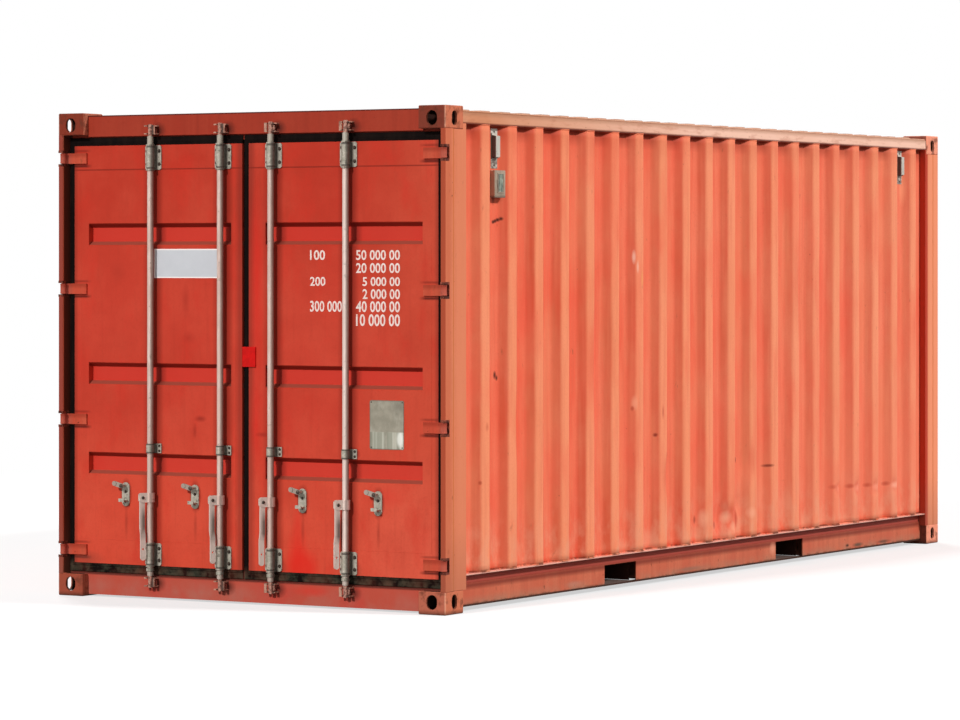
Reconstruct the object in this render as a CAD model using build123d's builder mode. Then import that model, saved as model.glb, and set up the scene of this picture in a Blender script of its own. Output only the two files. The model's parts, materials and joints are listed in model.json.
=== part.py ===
"""Twenty-foot steel shipping container with two hinged doors and four lock rods.

X runs along the length, with the doors at -X. Y runs across, and Z is up.
The origin is the centre of the base, at the underside of the bottom corner castings.
"""

import os
from math import atan2, cos, degrees, radians, sin, tan

from build123d import *

os.makedirs("parts", exist_ok=True)

# Outside size
length = 6058
width = 2438
height = 2591

# Corner castings
casting_length = 178
casting_width = 162
casting_height = 118
casting_side_wall = 16
casting_slot_wall = 24
casting_back_wall = 14
casting_edge = 4
twist_slot_length = 124
twist_slot_width = 63.5
twist_slot_inset_x = 102.5
twist_slot_inset_y = 89.5
end_hole_width = 63.5
side_hole_width = 51
face_hole_height = 76
face_hole_below_wall = 2

# Corrugated sheet
sheet_steel = 2
side_flat_outer = 72
side_flat_inner = 70
side_slope = 68
side_depth = 36
side_wall_inset = 7
first_outer_flat = 169
end_flat_outer = 104
end_flat_inner = 110
end_slope = 18
end_depth = 45.6
roof_rib_pitch = 209
roof_rib_width = 91
roof_rib_rise = 18
roof_rib_slope = 14
roof_rib_clear = 20
roof_edge_gap = 10

# Door frame, measured inwards from the door-end plane and from the side plane
frame_face_inset = 48
stop_behind_face = 16
post_lip_width = 30
post_behind_wall = 4
post_past_casting = 32
post_step_inset = 81
post_step = 3
post_wall = 5
post_edge_radius = 6
header_below_casting = 8
header_top_drop = 13
header_depth = 100
header_wall = 4
header_stop_drop = 30
stop_plate_thickness = 6
sill_bottom = 10
sill_above_casting = 5
floor_above_sill = 49

# Rails
top_rail_drop = 31
top_rail_above_casting = 29
top_rail_width = 60
top_rail_inset = 6
top_rail_wall = 3
bottom_rail_bottom = 24
bottom_rail_above_floor = 22
bottom_rail_flange_inset = 8
bottom_rail_web_behind_wall = 5
bottom_rail_skirt_step = 6
bottom_rail_steel = 6
bottom_rail_foot = 46

# Blind end
blind_post_past_casting = 11
blind_post_behind_wall = 3
blind_post_groove = 74
blind_rail_inset = 8
blind_rail_size = 60
blind_rail_wall = 4

# Floor
plywood = 28
cross_member_bottom = 22
cross_member_flange = 45
cross_member_steel = 4
cross_member_pitch = 290
floor_edge_gap = 1
floor_above_ledge = 3

# Fork pockets
fork_pocket_centres = (-1105, 980)
fork_pocket_width = 360
fork_pocket_bottom = 32
fork_tunnel_side = 4
fork_tunnel_roof = 6

# Door leaves
leaf_behind_frame = 2
leaf_side_inset = 72
left_leaf_inner_edge = 58.5
right_leaf_inner_edge = -16.5
leaf_above_sill = 54
leaf_below_header = 50
leaf_thickness = 50
stile_width = 40
leaf_rail_height = 130
leaf_tube_wall = 3
door_rib_height = 122
door_rib_depth = 36
door_rib_slope = 24
first_rib_height = 537
second_rib_height = 1018
top_rib_drop = 475
rib_outer_margin = 92
left_rib_margin = 67.5
right_rib_margin = 103.5

# Door seal
seal_reach = 36
seal_frame_gap = 6
seal_centre_reach = 33.5
seal_bead_behind_face = 2
seal_lip_behind_face = 6
seal_bead = 14
seal_rest_gap = 0.3

# Hinges
hinge_count = 4
hinge_above_leaf_bottom = 71
hinge_below_leaf_top = 66
hinge_pin_depth = 18
hinge_pin_inset = 20
hinge_pin_radius = 10
hinge_bore_gap = 0.3
knuckle_radius = 14
knuckle_height = 56
hinge_end_gap = 2
lug_thickness = 13
lug_plate_depth = 5
lug_plate_side = 2
pocket_clear = 4
pocket_bend = 12
pocket_slant = 16
blade_thickness = 10
blade_reach = 85
blade_bend_inset = 40
blade_neck_angles = (32, -16.5)

# Lock rods: the inner ones from the leaf's edge, the outer ones from its middle
left_inner_rod_margin = 118.3
left_outer_rod_offset = 22.75
right_inner_rod_margin = 158.6
right_outer_rod_offset = 41.15
rod_depth = 18
rod_radius = 17
rod_bore_gap = 0.4
rod_turned_out = 150
lobe_from_hub = 160

# Cams and keepers
journal_radius = 12
keeper_above_header = 5
keeper_height = 49
keeper_plate = 7
keeper_half_width = 33
keeper_front = 12
keeper_notch = 34
keeper_lip_back = 4
keeper_below_casting = 0.5
lobe_gap = 5
lobe_reach = 24
lobe_half_width = 6
lobe_tip = 4
rod_end_above_keeper = 5

# Rod brackets
bracket_width = 103
bracket_plate = 6
bracket_corner = 8
bracket_sleeve_radius = 22
bracket_web = 30
bracket_sleeve_margin = 6
bracket_leaf_margin = 2
upper_bracket_height = 130
lower_bracket_height = 119
guide_height = 50
guide_above_leaf_bottom = 626

# Handles
hub_above_leaf_bottom = 365
hub_radius = 24
hub_collar_height = 50
hub_reach = 65
hub_cheek = 5
hub_web = 2
hub_corner = 9
rivet_distance = 48
rivet_radius = 7
rivet_head = 3
handle_end_gap = 92.7
handle_width = 28
handle_thickness = 10
handle_side_gap = 1
handle_bore_gap = 0.4
crank_before_retainer = 21
crank_length = 40
crank_offset = 10
hasp_hole_radius = 6
hasp_hole_from_end = 60

# Handle retainers and catches
retainer_width = 48
retainer_below_handle = 53
retainer_above_handle = 74
retainer_plate = 6
retainer_past_middle = 14
retainer_hole_radius = 7
seat_gap = 6
seat_thickness = 8
seat_width = 36
seat_lip_height = 9
seat_lip_thickness = 5
seat_lip_clear = 5
catch_above_handle = 57
catch_pin_radius = 6
catch_bore_gap = 0.3
catch_thickness = 5
catch_arm = 46
catch_width = 26
catch_knob_radius = 13
catch_knob_front = 18
catch_rest_angle = 15

# Small fittings
overlap_plate_height = 105
overlap_plate_thickness = 8
overlap_plate_on_leaf = 46
overlap_plate_past_seal = 2
vent_below_rail = 16
vent_plate_height = 207
vent_plate_width = 66
vent_plate_thickness = 2
vent_box_width = 50
vent_box_height = 119
vent_box_drop = 34
vent_box_depth = 25
vent_box_taper = 10
tag_box_below_vent = 10
tag_box_height = 142
tag_box_width = 110
tag_box_front = 5
tag_box_depth = 27
tag_box_corner = 6
tag_foot_width = 60
tag_foot_margin = 10
tag_window_width = 62
tag_window_height = 40
tag_window_depth = 12
roof_plate_length = 300
roof_plate_thickness = 4

# Places worked out from the sizes above
door_end = -length / 2
blind_end = length / 2
side_face = width / 2
casting_top_low = height - casting_height
top_rail_bottom = casting_top_low + top_rail_above_casting
top_rail_top = height - top_rail_drop
header_bottom = casting_top_low - header_below_casting
header_top = height - header_top_drop
sill_top = casting_height + sill_above_casting
floor_top = sill_top + floor_above_sill
member_top = floor_top - plywood
bottom_rail_top = floor_top + bottom_rail_above_floor
bottom_rail_step = member_top - floor_above_ledge
fork_pocket_top = member_top - fork_tunnel_roof
wall_back_inset = side_wall_inset + side_depth + sheet_steel
post_inner_inset = wall_back_inset + post_behind_wall
blind_post_leg = wall_back_inset + blind_post_behind_wall
bottom_rail_web_inset = wall_back_inset + bottom_rail_web_behind_wall
post_depth = casting_length + post_past_casting
blind_post_width = casting_length + blind_post_past_casting
stop_inset = frame_face_inset + stop_behind_face
door_face_inset = frame_face_inset + leaf_behind_frame
leaf_face_x = door_end + door_face_inset
leaf_bottom = sill_top + leaf_above_sill
leaf_top = header_bottom - leaf_below_header
leaf_outer_edge = side_face - leaf_side_inset
rod_x = door_end + rod_depth
pin_x = door_end + hinge_pin_depth
pin_y = side_face - hinge_pin_inset
post_edge_x = door_end + post_depth
blind_post_edge_x = blind_end - blind_post_width
rail_half_length = length / 2 - casting_length
header_half = side_face - casting_width
opening_half_width = side_face - post_inner_inset
frame_back_x = door_end + frame_face_inset + header_depth
blind_rail_back_x = blind_end - blind_rail_inset - blind_rail_size
door_names = {1: "left", -1: "right"}
leaf_inner_edges = {1: left_leaf_inner_edge, -1: right_leaf_inner_edge}
left_leaf_middle = (left_leaf_inner_edge + leaf_outer_edge) / 2
right_leaf_middle = (right_leaf_inner_edge + leaf_outer_edge) / 2
rod_positions = {
    "left_outer": left_leaf_middle + left_outer_rod_offset,
    "left_inner": left_leaf_inner_edge + left_inner_rod_margin,
    "right_inner": -(right_leaf_inner_edge + right_inner_rod_margin),
    "right_outer": -(right_leaf_middle + right_outer_rod_offset),
}
rod_spacing = rod_positions["left_outer"] - rod_positions["left_inner"]
hub_height = leaf_bottom + hub_above_leaf_bottom
handle_length = rod_spacing - rivet_distance * sin(radians(rod_turned_out)) - handle_end_gap
retainer_distance = handle_length / 2 + retainer_past_middle
catch_pivot_height = hub_height + catch_above_handle
hinge_low = leaf_bottom + hinge_above_leaf_bottom
hinge_step = (leaf_top - hinge_below_leaf_top - hinge_low) / (hinge_count - 1)
hinge_heights = [hinge_low + number * hinge_step for number in range(hinge_count)]
keeper_low = header_bottom + keeper_above_header
keeper_high = keeper_low + keeper_height
keeper_mirror = (keeper_low + casting_height - keeper_below_casting) / 2
side_fold_pitch = side_flat_outer + side_flat_inner + 2 * side_slope
first_vent = post_edge_x + first_outer_flat + side_flat_outer + side_slope + side_flat_inner / 2
last_vent_room = blind_post_edge_x - first_vent - side_flat_inner / 2 - side_slope - side_flat_outer
vent_positions = (first_vent, first_vent + last_vent_room // side_fold_pitch * side_fold_pitch)
vent_high = top_rail_bottom - vent_below_rail
vent_middle = vent_high - vent_plate_height / 2
vent_box_middle = vent_high - vent_box_drop - vent_box_height / 2


def outline(points):
    """Closed face through the points, in the active sketch."""
    with BuildLine() as edge_line:
        Polyline(*points, close=True)
    make_face(edge_line.edges())


def plan(inset_x, inset_y, side=1):
    """Plan point at insets from the door-end plane and the side plane."""
    return (door_end + inset_x, side * (side_face - inset_y))


def blind_plan(inset_x, inset_y):
    """Plan point at insets from the blind-end plane and the side plane."""
    return (blind_end - inset_x, side_face - inset_y)


def plate(low, high, mode=Mode.ADD):
    """Rectangular plate between two opposite corners, in the active part."""
    middle = [(a + b) / 2 for a, b in zip(low, high)]
    with Locations(tuple(middle)):
        Box(high[0] - low[0], high[1] - low[1], high[2] - low[2], mode=mode)


def corrugation(start, end, first, flat_outer, flat_inner, slope, depth, steel):
    """Closed outline of a folded sheet: outer flats at 0, inner flats at depth."""
    corners = [(start, depth)]
    position = start + first
    while position + flat_outer <= end:
        corners.append((position - slope, depth))
        corners.append((position, 0))
        corners.append((position + flat_outer, 0))
        corners.append((position + flat_outer + slope, depth))
        position += flat_outer + flat_inner + 2 * slope
    corners = [corner for corner in corners if corner[0] < end]
    corners.append((end, depth))
    shift = steel * tan(atan2(depth, slope) / 2)
    back = []
    for place, level in reversed(corners):
        move = 0
        if start < place < end:
            index = corners.index((place, level))
            falls = corners[index + 1][1] > level or corners[index - 1][1] < level
            move = -shift if falls else shift
        back.append((place + move, level + steel))
    return corners + back


def export_piece(builder, name):
    """Label a finished piece and write it under its own name."""
    builder.part.label = name
    export_step(builder.part, f"parts/{name}.step")


# Corner castings: hollow steel boxes with a twist-lock slot, an end hole and a side hole
casting_middle_x = door_end + casting_length / 2
casting_middle_y = side_face - casting_width / 2
face_hole_z = height - casting_slot_wall - face_hole_below_wall - face_hole_height / 2
with BuildPart() as top_corner_castings:
    plate(
        (door_end, side_face - casting_width, casting_top_low),
        (door_end + casting_length, side_face, height),
    )
    outer_edges = top_corner_castings.edges().filter_by(
        lambda edge: edge.center().X < door_end + 1
        or edge.center().Y > side_face - 1
        or edge.center().Z > height - 1
    )
    chamfer(outer_edges, casting_edge)
    plate(
        (
            door_end + casting_side_wall,
            side_face - casting_width + casting_side_wall,
            casting_top_low + casting_back_wall,
        ),
        (
            door_end + casting_length - casting_side_wall,
            side_face - casting_side_wall,
            height - casting_slot_wall,
        ),
        mode=Mode.SUBTRACT,
    )
    with BuildSketch(Plane.XY.offset(height)):
        with Locations((door_end + twist_slot_inset_x, side_face - twist_slot_inset_y)):
            SlotOverall(twist_slot_length, twist_slot_width)
    extrude(amount=-casting_slot_wall, mode=Mode.SUBTRACT)
    with BuildSketch(Plane.YZ.offset(door_end)):
        with Locations((casting_middle_y, face_hole_z)):
            SlotOverall(face_hole_height, end_hole_width, rotation=90)
    extrude(amount=casting_side_wall, mode=Mode.SUBTRACT)
    with BuildSketch(Plane.XZ.offset(-side_face)):
        with Locations((casting_middle_x, face_hole_z)):
            SlotOverall(face_hole_height, side_hole_width, rotation=90)
    extrude(amount=casting_side_wall, mode=Mode.SUBTRACT)
    mirror(about=Plane.YZ)
    mirror(about=Plane.XZ)
export_piece(top_corner_castings, "top_corner_castings")

with BuildPart() as bottom_corner_castings:
    mirror(top_corner_castings.part, about=Plane.XY.offset(height / 2))
export_piece(bottom_corner_castings, "bottom_corner_castings")

# Hinge pockets: where the post's front lip is cut away for the knuckle
pocket_half_height = knuckle_height / 2 + hinge_end_gap + lug_thickness
pocket_depth = hinge_pin_depth + knuckle_radius + pocket_clear + lug_plate_depth
cut_margin = 1


def hinge_pocket(plate_depth=0, plate_side=0, margin=0):
    """Plan of a pocket, less its back plate, with a margin where it is to cut the faces."""
    back = pocket_depth - plate_depth
    points = [
        plan(-margin, -margin),
        plan(back, -margin),
        plan(back, pocket_bend - plate_side),
        plan(back + pocket_slant, post_lip_width - plate_side),
        plan(-margin, post_lip_width + margin),
    ]
    if margin:
        points.insert(4, plan(back + pocket_slant, post_lip_width + margin))
    return points


# Door-end posts: hollow sections with a front lip, a return and a stop face
with BuildPart() as door_end_posts:
    with BuildSketch(Plane.XY.offset(casting_height)) as post_section:
        outline(
            [
                plan(0, 0),
                plan(post_step_inset, 0),
                plan(post_step_inset + post_step, post_step),
                plan(post_depth, post_step),
                plan(post_depth, post_inner_inset),
                plan(stop_inset, post_inner_inset),
                plan(stop_inset, post_lip_width),
                plan(0, post_lip_width),
            ]
        )
        post_hollow = offset(amount=-post_wall, mode=Mode.PRIVATE)
        fillet(post_section.vertices().group_by(Axis.X)[0], post_edge_radius)
        add(post_hollow, mode=Mode.SUBTRACT)
    extrude(amount=casting_top_low - casting_height)
    plate(
        (door_end + casting_length, side_face - post_inner_inset, casting_top_low),
        (post_edge_x, side_face - post_step, top_rail_bottom),
    )
    for hinge_z in hinge_heights:
        with BuildSketch(Plane.XY.offset(hinge_z - pocket_half_height)):
            outline(hinge_pocket(margin=cut_margin))
        extrude(amount=2 * pocket_half_height, mode=Mode.SUBTRACT)
    mirror(about=Plane.XZ)
export_piece(door_end_posts, "door_end_posts")

# Hinge lugs: a bent plate with two ears and a pin, set into each pocket
with BuildPart() as hinge_lugs:
    for hinge_z in hinge_heights:
        with BuildSketch(Plane.XY.offset(hinge_z - pocket_half_height)):
            outline(hinge_pocket())
        extrude(amount=2 * pocket_half_height)
        opening_half = knuckle_height / 2 + hinge_end_gap
        with BuildSketch(Plane.XY.offset(hinge_z - opening_half)):
            outline(hinge_pocket(lug_plate_depth, lug_plate_side, cut_margin))
        extrude(amount=2 * opening_half, mode=Mode.SUBTRACT)
        with BuildSketch(Plane.XY.offset(hinge_z - pocket_half_height)):
            with Locations((pin_x, pin_y)):
                Circle(hinge_pin_radius)
        extrude(amount=2 * pocket_half_height)
    mirror(about=Plane.XZ)
export_piece(hinge_lugs, "hinge_lugs")

# Door header: a box section between the top castings, with a stop plate below
with BuildPart() as door_header:
    with BuildSketch(Plane.XZ):
        outline(
            [
                (door_end + frame_face_inset, header_bottom),
                (frame_back_x, header_bottom),
                (frame_back_x, header_top),
                (door_end + frame_face_inset, header_top),
            ]
        )
        offset(amount=-header_wall, mode=Mode.SUBTRACT)
    extrude(amount=header_half, both=True)
    plate(
        (door_end + stop_inset, -opening_half_width, header_bottom - header_stop_drop),
        (
            door_end + stop_inset + stop_plate_thickness,
            opening_half_width,
            casting_top_low,
        ),
    )
export_piece(door_header, "door_header")

# Door sill: a box section between the bottom castings, with a raised step
with BuildPart() as door_sill:
    with BuildSketch(Plane.XZ):
        outline(
            [
                (door_end + frame_face_inset, sill_bottom),
                (frame_back_x, sill_bottom),
                (frame_back_x, floor_top),
                (door_end + stop_inset, floor_top),
                (door_end + stop_inset, sill_top),
                (door_end + frame_face_inset, sill_top),
            ]
        )
        offset(amount=-header_wall, mode=Mode.SUBTRACT)
    extrude(amount=header_half, both=True)
    with BuildSketch(Plane.XZ):
        outline(
            [
                (door_end + frame_face_inset, casting_height),
                (frame_back_x, casting_height),
                (frame_back_x, floor_top),
                (door_end + stop_inset, floor_top),
                (door_end + stop_inset, sill_top),
                (door_end + frame_face_inset, sill_top),
            ]
        )
        offset(amount=-header_wall, mode=Mode.SUBTRACT)
    extrude(amount=opening_half_width, both=True)
export_piece(door_sill, "door_sill")

# Blind-end posts: hollow angle sections
with BuildPart() as blind_end_posts:
    with BuildSketch(Plane.XY.offset(casting_height)) as blind_section:
        outline(
            [
                blind_plan(0, 0),
                blind_plan(blind_post_groove, 0),
                blind_plan(blind_post_groove + post_step, post_step),
                blind_plan(blind_post_width, post_step),
                blind_plan(blind_post_width, blind_post_leg),
                blind_plan(blind_post_leg, blind_post_leg),
                blind_plan(blind_post_leg, casting_width),
                blind_plan(0, casting_width),
            ]
        )
        blind_post_hollow = offset(amount=-post_wall, mode=Mode.PRIVATE)
        fillet(blind_section.vertices().sort_by_distance(blind_plan(0, 0))[0], post_edge_radius)
        add(blind_post_hollow, mode=Mode.SUBTRACT)
    extrude(amount=casting_top_low - casting_height)
    plate(
        (blind_post_edge_x, side_face - blind_post_leg, casting_top_low),
        (blind_end - casting_length, side_face - post_step, top_rail_bottom),
    )
    mirror(about=Plane.XZ)
export_piece(blind_end_posts, "blind_end_posts")

# Blind-end rails: box sections between the castings
with BuildPart() as blind_end_top_rail:
    with BuildSketch(Plane.XZ):
        outline(
            [
                (blind_end - blind_rail_inset, top_rail_bottom),
                (blind_rail_back_x, top_rail_bottom),
                (blind_rail_back_x, header_top),
                (blind_end - blind_rail_inset, header_top),
            ]
        )
        offset(amount=-blind_rail_wall, mode=Mode.SUBTRACT)
    extrude(amount=header_half, both=True)
export_piece(blind_end_top_rail, "blind_end_top_rail")

with BuildPart() as blind_end_bottom_rail:
    with BuildSketch(Plane.XZ):
        outline(
            [
                (blind_end - blind_rail_inset, bottom_rail_bottom),
                (blind_rail_back_x, bottom_rail_bottom),
                (blind_rail_back_x, bottom_rail_top),
                (blind_end - blind_rail_inset, bottom_rail_top),
            ]
        )
        offset(amount=-blind_rail_wall, mode=Mode.SUBTRACT)
    extrude(amount=header_half, both=True)
export_piece(blind_end_bottom_rail, "blind_end_bottom_rail")

# Blind-end wall: corrugated sheet between the posts
end_pitch = end_flat_outer + end_flat_inner + 2 * end_slope
end_folds = int((2 * header_half - 2 * end_slope) // end_pitch)
end_first = header_half - (end_folds * end_pitch - end_flat_inner) / 2 + end_slope
with BuildPart() as blind_end_wall:
    with BuildSketch(Plane.XY.offset(bottom_rail_top)):
        wall_line = corrugation(
            -header_half,
            header_half,
            end_first,
            end_flat_outer,
            end_flat_inner,
            end_slope,
            end_depth,
            sheet_steel,
        )
        outline([(blind_end - blind_rail_inset - level, place) for place, level in wall_line])
    extrude(amount=top_rail_bottom - bottom_rail_top)
export_piece(blind_end_wall, "blind_end_wall")

# Side walls: corrugated sheets between the posts, standing on the bottom rails
side_line = corrugation(
    post_edge_x,
    blind_post_edge_x,
    first_outer_flat,
    side_flat_outer,
    side_flat_inner,
    side_slope,
    side_depth,
    sheet_steel,
)
for side, name in door_names.items():
    with BuildPart() as side_wall:
        with BuildSketch(Plane.XY.offset(bottom_rail_top)):
            outline(
                [
                    (place, side * (side_face - side_wall_inset - level))
                    for place, level in side_line
                ]
            )
        extrude(amount=top_rail_bottom - bottom_rail_top)
    export_piece(side_wall, f"{name}_side_wall")

# Top side rails: square tubes between the top castings
with BuildPart() as top_side_rails:
    with BuildSketch(Plane.YZ):
        outline(
            [
                (side_face - top_rail_inset, top_rail_bottom),
                (side_face - top_rail_inset, top_rail_top),
                (side_face - top_rail_inset - top_rail_width, top_rail_top),
                (side_face - top_rail_inset - top_rail_width, top_rail_bottom),
            ]
        )
        offset(amount=-top_rail_wall, mode=Mode.SUBTRACT)
    extrude(amount=rail_half_length, both=True)
    mirror(about=Plane.XZ)
export_piece(top_side_rails, "top_side_rails")

# Bottom side rails: folded channels with a stepped web, cut for the fork pockets
steel = bottom_rail_steel
web_y = side_face - bottom_rail_web_inset
skirt_y = web_y + bottom_rail_skirt_step
flange_y = side_face - bottom_rail_flange_inset
foot_y = skirt_y - bottom_rail_foot
with BuildPart() as bottom_side_rails:
    with BuildSketch(Plane.YZ.offset(post_edge_x)):
        outline(
            [
                (flange_y, bottom_rail_top),
                (web_y - steel, bottom_rail_top),
                (web_y - steel, bottom_rail_step - steel),
                (skirt_y - steel, bottom_rail_step - steel),
                (skirt_y - steel, bottom_rail_bottom + steel),
                (foot_y, bottom_rail_bottom + steel),
                (foot_y, bottom_rail_bottom),
                (skirt_y, bottom_rail_bottom),
                (skirt_y, bottom_rail_step),
                (web_y, bottom_rail_step),
                (web_y, bottom_rail_top - steel),
                (flange_y, bottom_rail_top - steel),
            ]
        )
    extrude(amount=blind_post_edge_x - post_edge_x)
    with BuildSketch(Plane.YZ.offset(-rail_half_length)):
        outline(
            [
                (skirt_y - steel, casting_height),
                (skirt_y - steel, bottom_rail_bottom + steel),
                (foot_y, bottom_rail_bottom + steel),
                (foot_y, bottom_rail_bottom),
                (skirt_y, bottom_rail_bottom),
                (skirt_y, casting_height),
            ]
        )
    extrude(amount=2 * rail_half_length)
    for centre in fork_pocket_centres:
        plate(
            (centre - fork_pocket_width / 2, foot_y - cut_margin, fork_pocket_bottom),
            (centre + fork_pocket_width / 2, side_face, fork_pocket_top),
            mode=Mode.SUBTRACT,
        )
    mirror(about=Plane.XZ)
export_piece(bottom_side_rails, "bottom_side_rails")

# Fork pocket tunnels: folded channels across the floor frame
with BuildPart() as fork_pocket_tunnels:
    for centre in fork_pocket_centres:
        inner = fork_pocket_width / 2
        outer = inner + fork_tunnel_side
        with BuildSketch(Plane.XZ):
            outline(
                [
                    (centre - outer, fork_pocket_bottom),
                    (centre - outer, member_top),
                    (centre + outer, member_top),
                    (centre + outer, fork_pocket_bottom),
                    (centre + inner, fork_pocket_bottom),
                    (centre + inner, fork_pocket_top),
                    (centre - inner, fork_pocket_top),
                    (centre - inner, fork_pocket_bottom),
                ]
            )
        extrude(amount=foot_y, both=True)
export_piece(fork_pocket_tunnels, "fork_pocket_tunnels")

# Cross members: channel sections between the bottom rails, clear of the tunnels
member_count = int((2 * rail_half_length - cross_member_pitch) // cross_member_pitch)
member_start = -(member_count - 1) * cross_member_pitch / 2
tunnel_clear = fork_pocket_width / 2 + fork_tunnel_side + cross_member_flange
inner_low = cross_member_bottom + cross_member_steel
inner_high = member_top - cross_member_steel
with BuildPart() as cross_members:
    for number in range(member_count):
        member_x = member_start + number * cross_member_pitch
        if min(abs(member_x - centre) for centre in fork_pocket_centres) < tunnel_clear:
            continue
        with BuildSketch(Plane.XZ):
            outline(
                [
                    (member_x, member_top),
                    (member_x, cross_member_bottom),
                    (member_x + cross_member_flange, cross_member_bottom),
                    (member_x + cross_member_flange, inner_low),
                    (member_x + cross_member_steel, inner_low),
                    (member_x + cross_member_steel, inner_high),
                    (member_x + cross_member_flange, inner_high),
                    (member_x + cross_member_flange, member_top),
                ]
            )
        extrude(amount=foot_y, both=True)
export_piece(cross_members, "cross_members")

# Plywood floor: one deck on the cross members
floor_half = web_y - steel - floor_edge_gap
with BuildPart() as plywood_floor:
    plate(
        (frame_back_x, -floor_half, member_top),
        (blind_rail_back_x, floor_half, floor_top),
    )
export_piece(plywood_floor, "plywood_floor")

# Roof: one sheet with pressed ribs across it, welded to the top rails
roof_half = side_face - top_rail_inset - roof_edge_gap
roof_rib_half = side_face - top_rail_inset - top_rail_width - roof_rib_clear
roof_ribs = int((blind_rail_back_x - frame_back_x - roof_rib_width) // roof_rib_pitch)
roof_middle = (frame_back_x + blind_rail_back_x) / 2
rib_taper = degrees(atan2(roof_rib_slope, roof_rib_rise))
with BuildPart() as roof_panel:
    plate(
        (frame_back_x, -header_half, top_rail_top),
        (blind_rail_back_x, header_half, top_rail_top + sheet_steel),
    )
    plate(
        (-rail_half_length, -roof_half, top_rail_top),
        (rail_half_length, roof_half, top_rail_top + sheet_steel),
    )
    with BuildSketch(Plane.XY.offset(top_rail_top + sheet_steel)):
        with Locations((roof_middle, 0)):
            with GridLocations(roof_rib_pitch, 0, roof_ribs, 1):
                Rectangle(roof_rib_width + 2 * roof_rib_slope, 2 * roof_rib_half)
    extrude(amount=roof_rib_rise, taper=rib_taper)
    with BuildSketch(Plane.XY.offset(top_rail_top)):
        with Locations((roof_middle, 0)):
            with GridLocations(roof_rib_pitch, 0, roof_ribs, 1):
                Rectangle(
                    roof_rib_width + 2 * roof_rib_slope - sheet_steel,
                    2 * roof_rib_half - sheet_steel,
                )
    extrude(amount=roof_rib_rise, taper=rib_taper, mode=Mode.SUBTRACT)
export_piece(roof_panel, "roof_panel")

# Roof corner plates: doubling plates beside the castings, on the roof sheet
with BuildPart() as roof_corner_plates:
    plate(
        (
            -rail_half_length,
            side_face - top_rail_inset - top_rail_width,
            top_rail_top + sheet_steel,
        ),
        (
            -rail_half_length + roof_plate_length,
            roof_half,
            top_rail_top + sheet_steel + roof_plate_thickness,
        ),
    )
    mirror(about=Plane.YZ)
    mirror(about=Plane.XZ)
export_piece(roof_corner_plates, "roof_corner_plates")

# Ventilators: small weather boxes on inner flats near the top of each side
vent_back = side_face - side_wall_inset - side_depth
with BuildPart() as ventilators:
    for vent_x in vent_positions:
        with BuildSketch(Plane.XZ.offset(-vent_back)):
            with Locations((vent_x, vent_middle)):
                Rectangle(vent_plate_width, vent_plate_height)
        extrude(amount=-vent_plate_thickness)
        with BuildSketch(Plane.XZ.offset(-vent_back - vent_plate_thickness)):
            with Locations((vent_x, vent_box_middle)):
                Rectangle(vent_box_width, vent_box_height)
        extrude(amount=-vent_box_depth, taper=vent_box_taper)
    mirror(about=Plane.XZ)
export_piece(ventilators, "ventilators")

# Tag box: a small housing with a window, under the first ventilator of the right side
tag_front_y = -side_face + tag_box_front
tag_middle_z = vent_high - vent_plate_height - tag_box_below_vent - tag_box_height / 2
with BuildPart() as tag_box:
    with BuildSketch(Plane.XZ.offset(-tag_front_y)):
        with Locations((first_vent, tag_middle_z)):
            RectangleRounded(tag_box_width, tag_box_height, tag_box_corner)
    extrude(amount=-tag_box_depth)
    with BuildSketch(Plane.XZ.offset(-tag_front_y - tag_box_depth)):
        with Locations((first_vent, tag_middle_z)):
            Rectangle(tag_foot_width, tag_box_height - 2 * tag_foot_margin)
    extrude(amount=-(side_wall_inset + side_depth - tag_box_front - tag_box_depth))
    with BuildSketch(Plane.XZ.offset(-tag_front_y)):
        with Locations((first_vent, tag_middle_z)):
            Rectangle(tag_window_width, tag_window_height)
    extrude(amount=-tag_window_depth, mode=Mode.SUBTRACT)
export_piece(tag_box, "tag_box")


def rod_plan(rod_y, side, along, outward):
    """Plan point near a lock rod: along runs to the hinges, outward from the door."""
    return (rod_x - outward, rod_y + side * along)


# Cam keepers: notched plate pairs with a lip, on the header and the sill
keeper_back = -(frame_face_inset - rod_depth)
keeper_outline = [
    (-keeper_half_width, keeper_back),
    (-keeper_half_width, keeper_front),
    (-keeper_notch / 2, keeper_front),
    (-keeper_notch / 2, -keeper_notch / 2),
    (keeper_notch / 2, -keeper_notch / 2),
    (keeper_notch / 2, keeper_front),
    (keeper_half_width, keeper_front),
    (keeper_half_width, keeper_back),
]
with BuildPart() as cam_keepers:
    for rod_name, rod_y in rod_positions.items():
        side = 1 if rod_name.startswith("left") else -1
        for plate_low in (keeper_low, keeper_high - keeper_plate):
            with BuildSketch(Plane.XY.offset(plate_low)):
                outline([rod_plan(rod_y, side, *point) for point in keeper_outline])
            extrude(amount=keeper_plate)
        lip_corners = [
            rod_plan(rod_y, side, -keeper_half_width, keeper_lip_back),
            rod_plan(rod_y, side, -keeper_half_width, keeper_front),
            rod_plan(rod_y, side, -keeper_notch / 2, keeper_front),
            rod_plan(rod_y, side, -keeper_notch / 2, keeper_lip_back),
        ]
        with BuildSketch(Plane.XY.offset(keeper_low)):
            outline(lip_corners)
        extrude(amount=keeper_high - keeper_low)
    mirror(about=Plane.XY.offset(keeper_mirror))
export_piece(cam_keepers, "cam_keepers")

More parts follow.
